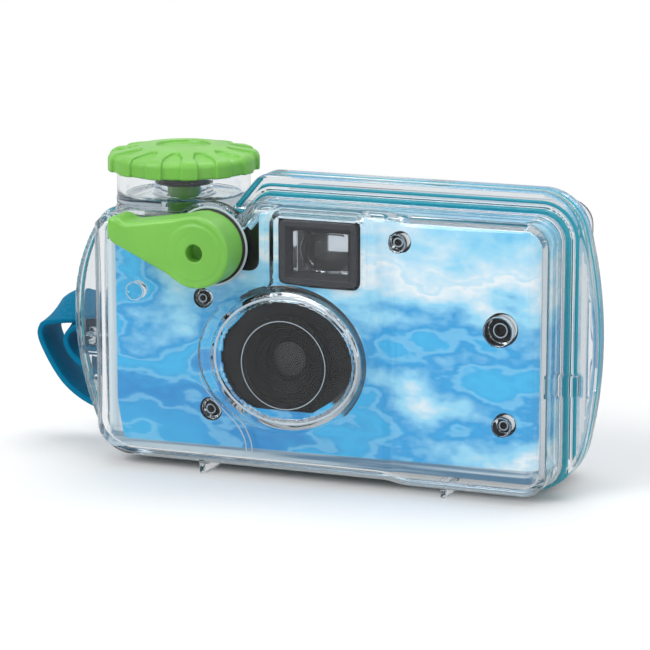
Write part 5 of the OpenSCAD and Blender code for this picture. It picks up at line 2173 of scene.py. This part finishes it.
@dataclass
class InnerCamera:
    """The wrapped camera and its works, which keep their solids and get their finishes."""

    finishes_by_slot: dict[Slot, tuple[str, ...]] = field(
        default_factory=lambda: {
            Slot.PRINT: ("printed_wrap",),
            Slot.BLACK: (
                "camera_front_cover", "camera_rear_cover", "camera_chassis", "bottom_doors", "lens_holder",
                "aperture_plate", "release_button", "press_arm", "ratchet_pawl", "sprocket_shaft",
                "supply_core", "cartridge_end_caps", "cartridge_spool", "wind_wheel",
            ),
            Slot.OPTIC: ("lens_element", "finder_eyepiece_lens", "counter_window"),
            Slot.BLACK_RUBBER: ("knob_seal_ring", "lever_seal_ring"),
            Slot.STEEL: (
                "knob_clip", "press_arm_screw", "lever_return_spring", "shutter_blade", "shutter_striker",
                "blade_spring", "striker_spring",
            ),
            Slot.CAN: ("cartridge_can",),
            Slot.FILM: ("film_strip", "film_roll"),
            Slot.COUNTER: ("counter_disc",),
        }
    )

    finder_x: tuple[float, float] = (-8.6, 10.4)
    finder_z: tuple[float, float] = (47.8, 62.6)
    finder_y: tuple[float, float] = (-11.9, -8.5)
    finder_r: float = 1.6
    frame_round: float = 0.3
    mouth: float = 1.4
    mouth_slant: float = 0.85
    mouth_round: float = 0.2
    rim: float = 2.6
    glass_y: tuple[float, float] = (-9.9, -6.0)
    glass_t: float = 1.0
    glass_gap: float = 0.1
    glass_r: float = 0.3
    glass_round: float = 0.1
    dish_r: float = 8.0
    step: float = 0.24

    def frame_shape(self, x: Grid, y: Grid, z: Grid) -> Distance:
        """Distance from the finder's frame, whose mouth narrows towards the glass.

        Args:
            x: Place across.
            y: Place from front to back.
            z: Height.

        Returns:
            The distance.
        """
        outer = rounded_rect(x, z, *self.finder_x, *self.finder_z, self.finder_r)
        depth = np.clip((y - self.finder_y[0]) / (self.glass_y[0] - self.finder_y[0]), 0, 1)
        tunnel = outer + self.mouth + (self.rim - self.mouth) * depth
        block = meet(outer, span(y, *self.finder_y), self.frame_round)
        return cut(block, tunnel * self.mouth_slant, self.mouth_round)

    def glass_shape(self, x: Grid, y: Grid, z: Grid) -> Distance:
        """Distance from the finder's glass, flat in front and hollow behind.

        Args:
            x: Place across.
            y: Place from front to back.
            z: Height.

        Returns:
            The distance.
        """
        inset = self.rim + self.glass_gap
        wide, tall = ((a + inset, b - inset) for a, b in (self.finder_x, self.finder_z))
        block = meet(rounded_rect(x, z, *wide, *tall, self.glass_r), span(y, *self.glass_y), self.glass_round)
        cx, cz = sum(self.finder_x) / 2, sum(self.finder_z) / 2
        cy = self.glass_y[0] + self.glass_t + self.dish_r
        return cut(block, np.sqrt((x - cx) ** 2 + (y - cy) ** 2 + (z - cz) ** 2) - self.dish_r)

    def finder(self, finishes: Finishes) -> list[Piece]:
        """Builds and dresses the finder's frame and front glass.

        Args:
            finishes: The materials.

        Returns:
            The pieces.
        """
        pieces = []
        black, clear = finishes.finder_black, finishes[Slot.OPTIC]
        for name, node, shape, depth, slot, finish in (
            ("finder_frame", "finder_bezel", self.frame_shape, self.finder_y, Slot.BLACK, black),
            ("finder_glass", "finder_front_lens", self.glass_shape, self.glass_y, Slot.OPTIC, clear),
        ):
            low, high = zip(self.finder_x, depth, self.finder_z)
            skin = skin_field(shape, low, high, self.step)
            pieces.append(make_piece(name, skin, Body.HOUSING, [node]))
            dress(pieces[-1], finish)
        return pieces

    def build(self, finishes: Finishes) -> list[Piece]:
        """Dresses the solids that stay as they are, and builds the finder.

        Args:
            finishes: The materials.

        Returns:
            The solids and the pieces.
        """
        # The lens gets an opaque finish with painted shade, and its mount a black darkened with painted
        # shade.
        special = {"lens_element": finishes.lens_painted_dark, "lens_holder": finishes.lens_mount_painted_shade}
        dressed = []
        for slot, nodes in self.finishes_by_slot.items():
            for node in nodes:
                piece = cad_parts[node]
                dress(piece, special.get(node, finishes[slot]))
                dressed.append(piece)
                LOG.info("%s: finished as %s", node, slot.value)
        return dressed + self.finder(finishes)


@dataclass(frozen=True)
class Lamp:
    """A soft square lamp that looks at the object, in metres and watts."""

    name: str
    place: tuple[float, float, float]
    size: float
    power: float
    aim: tuple[float, float, float] = (0, 0, 0.03)

    def hang(self) -> None:
        """Puts the lamp in the scene and turns it to the object."""
        data = bpy.data.lights.new(self.name, "AREA")
        data.size = self.size
        data.energy = self.power
        lamp = put_in_scene(self.name, data)
        lamp.location = self.place
        lamp.rotation_mode = "QUATERNION"
        lamp.rotation_quaternion = (Vector(self.aim) - Vector(self.place)).to_track_quat("-Z", "Y")


@dataclass
class Studio:
    """Floor, lamps, world and camera. The camera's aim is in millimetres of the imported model's frame."""

    aim: tuple[float, float, float] = (9.93, -1.45, 34.92)
    azimuth: float = 21.0
    elevation: float = 12.5
    distance: float = 712.5
    lens: float = 168.37
    sensor: float = 36.0
    shift: tuple[float, float] = (-0.02615, 0.0077)
    clip: tuple[float, float] = (0.01, 50.0)
    ambient: float = 0.45
    floor_half: float = 6.0
    floor_colour: Colour = (0.93, 0.93, 0.93, 1)
    floor_fade: tuple[float, float] = (0.1, 0.34)
    # Share of white glow on the floor for rays through the clear plastic: painted light over its shadow.
    floor_glow_through_plastic: float = 0.6
    dish: tuple[tuple[float, float], ...] = ((0.001, 0.002), (2.0, 0.002), (2.0, 0.6))
    dish_sides: int = 48
    dish_dark: Colour = (0.3, 0.31, 0.32, 1)
    dish_pale: float = 0.85
    dish_right: tuple[float, float] = (0.05, 0.2)
    dish_back: tuple[float, float] = (-0.08, 0.02)
    dish_aside: float = 0.8
    dish_depth: float = 3.5
    lamps: tuple[Lamp, ...] = (
        Lamp("key", (-0.45, -0.65, 0.75), 0.6, 6.0),
        Lamp("fill", (0.8, -0.5, 0.45), 0.7, 2.0),
        Lamp("top", (0.1, 0.25, 0.9), 0.7, 4.0),
    )

    def camera(self) -> None:
        """Sets the camera at the photograph's viewing angle."""
        data = bpy.data.cameras.new("view")
        data.lens = self.lens
        data.sensor_width = self.sensor
        data.shift_x, data.shift_y = self.shift
        data.clip_start, data.clip_end = self.clip
        camera = put_in_scene("view", data)
        a, e = math.radians(self.azimuth), math.radians(self.elevation)
        back = Vector((math.sin(a) * math.cos(e), -math.cos(a) * math.cos(e), math.sin(e)))
        camera.location = (Vector(self.aim) + back * self.distance) * MM
        camera.rotation_mode = "QUATERNION"
        camera.rotation_quaternion = (-back).to_track_quat("-Z", "Y")
        bpy.context.scene.camera = camera

    @staticmethod
    def seen(tree: Tree) -> Socket:
        """Marks rays that show the background: straight, mirrored or through glass.

        Args:
            tree: The tree of the floor or the world.

        Returns:
            The mask, 1 for such rays.
        """
        path = tree.add("ShaderNodeLightPath")
        mirrored = tree.math("MAXIMUM", path.outputs["Is Glossy Ray"], path.outputs["Is Transmission Ray"])
        return tree.math("MAXIMUM", path.outputs["Is Camera Ray"], mirrored)

    def world(self) -> None:
        """Makes a white background with a lower, even light."""
        world = bpy.data.worlds.new("studio")
        bpy.context.scene.world = world
        world.use_nodes = True
        tree = Tree(world.node_tree)
        light = tree.add("ShaderNodeBackground", {0: WHITE, 1: self.ambient}).outputs[0]
        white = tree.add("ShaderNodeBackground", {0: WHITE, 1: 1.0}).outputs[0]
        mixed = tree.add("ShaderNodeMixShader", {0: self.seen(tree), 1: light, 2: white})
        tree.link(mixed.outputs[0], tree.add("ShaderNodeOutputWorld"), "Surface")

    def floor(self) -> None:
        """Lays a pale floor that turns into the white background away from the object, and that partly glows
        white for rays through the clear plastic: painted light over its shadow there.
        """
        mesh = bpy.data.meshes.new("floor")
        r = self.floor_half
        mesh.from_pydata([(-r, -r, 0), (r, -r, 0), (r, r, 0), (-r, r, 0)], [], [(0, 1, 2, 3)])
        floor = put_in_scene("floor", mesh)
        material, tree, sink = new_material("pale_floor")
        length = tree.add("ShaderNodeVectorMath", {0: tree.place()}, operation="LENGTH").outputs["Value"]
        far = tree.math("MULTIPLY", tree.remap(length, *self.floor_fade, 0, 1), self.seen(tree))
        # Rays through the clear plastic see the floor partly as white glow: painted light over the object's
        # shadow.
        through = tree.add("ShaderNodeLightPath").outputs["Is Transmission Ray"]
        far = tree.math("MAXIMUM", far, tree.math("MULTIPLY", through, self.floor_glow_through_plastic))
        matt = tree.add("ShaderNodeBsdfDiffuse", {0: self.floor_colour}).outputs[0]
        white = tree.add("ShaderNodeEmission", {0: WHITE, 1: 1.0}).outputs[0]
        mixed = tree.add("ShaderNodeMixShader", {0: far, 1: matt, 2: white})
        tree.link(mixed.outputs[0], sink, "Surface")
        dress(floor, material)

    def surround(self) -> None:
        """Sets a dish round the object that shows only in reflections, so that clear edges are drawn.

        It is dark at the front left, and pale at the right, at the back and for rays caught in a wall.
        """
        n = self.dish_sides
        turn = [math.tau * i / n for i in range(n)]
        points = [(r * math.cos(a), r * math.sin(a), z) for r, z in self.dish for a in turn]
        faces = [
            (k * n + i, k * n + (i + 1) % n, (k + 1) * n + (i + 1) % n, (k + 1) * n + i)
            for k in range(len(self.dish) - 1)
            for i in range(n)
        ]
        mesh = bpy.data.meshes.new("surround")
        mesh.from_pydata(points, [], faces)
        dish = put_in_scene("surround", mesh)
        dish.visible_camera = dish.visible_diffuse = dish.visible_transmission = False
        dish.visible_shadow = dish.visible_volume_scatter = False
        material, tree, sink = new_material("dark_surround")
        matt = tree.add("ShaderNodeBsdfDiffuse", {0: self.dish_dark}).outputs[0]
        white = tree.add("ShaderNodeEmission", {0: WHITE, 1: self.dish_pale}).outputs[0]
        x, y, _ = tree.axes()
        right, back = tree.remap(x, *self.dish_right, 0, 1), tree.remap(y, *self.dish_back, 0, 1)
        aside = tree.math("MULTIPLY", tree.math("MAXIMUM", right, back), self.dish_aside)
        depth = tree.add("ShaderNodeLightPath").outputs["Ray Depth"]
        pale = tree.math("MAXIMUM", tree.math("GREATER_THAN", depth, self.dish_depth), aside)
        mixed = tree.add("ShaderNodeMixShader", {0: pale, 1: matt, 2: white})
        tree.link(mixed.outputs[0], sink, "Surface")
        dress(dish, material)

    def build(self) -> None:
        """Sets up the whole studio."""
        bpy.context.scene.view_settings.view_transform = "Standard"
        self.camera()
        self.world()
        self.floor()
        self.surround()
        for lamp in self.lamps:
            lamp.hang()


def main() -> None:
    """Builds the object and the studio, and reports each piece."""
    logging.basicConfig(level=logging.INFO, format="%(name)s: %(message)s")
    Studio().build()
    finishes = Finishes(Effects())
    layout = Layout()
    parts = [
        FrontHalf(layout),
        RearHalf(layout),
        Gasket(layout),
        AdvanceKnob(layout),
        ShutterLever(layout),
        WristStrap(layout),
        InnerCamera(),
    ]
    for part in parts:
        pieces = part.build(finishes)
        LOG.info("%s: %s", type(part).__name__, ", ".join(p.name for p in pieces))


if __name__ == "__main__":
    main()
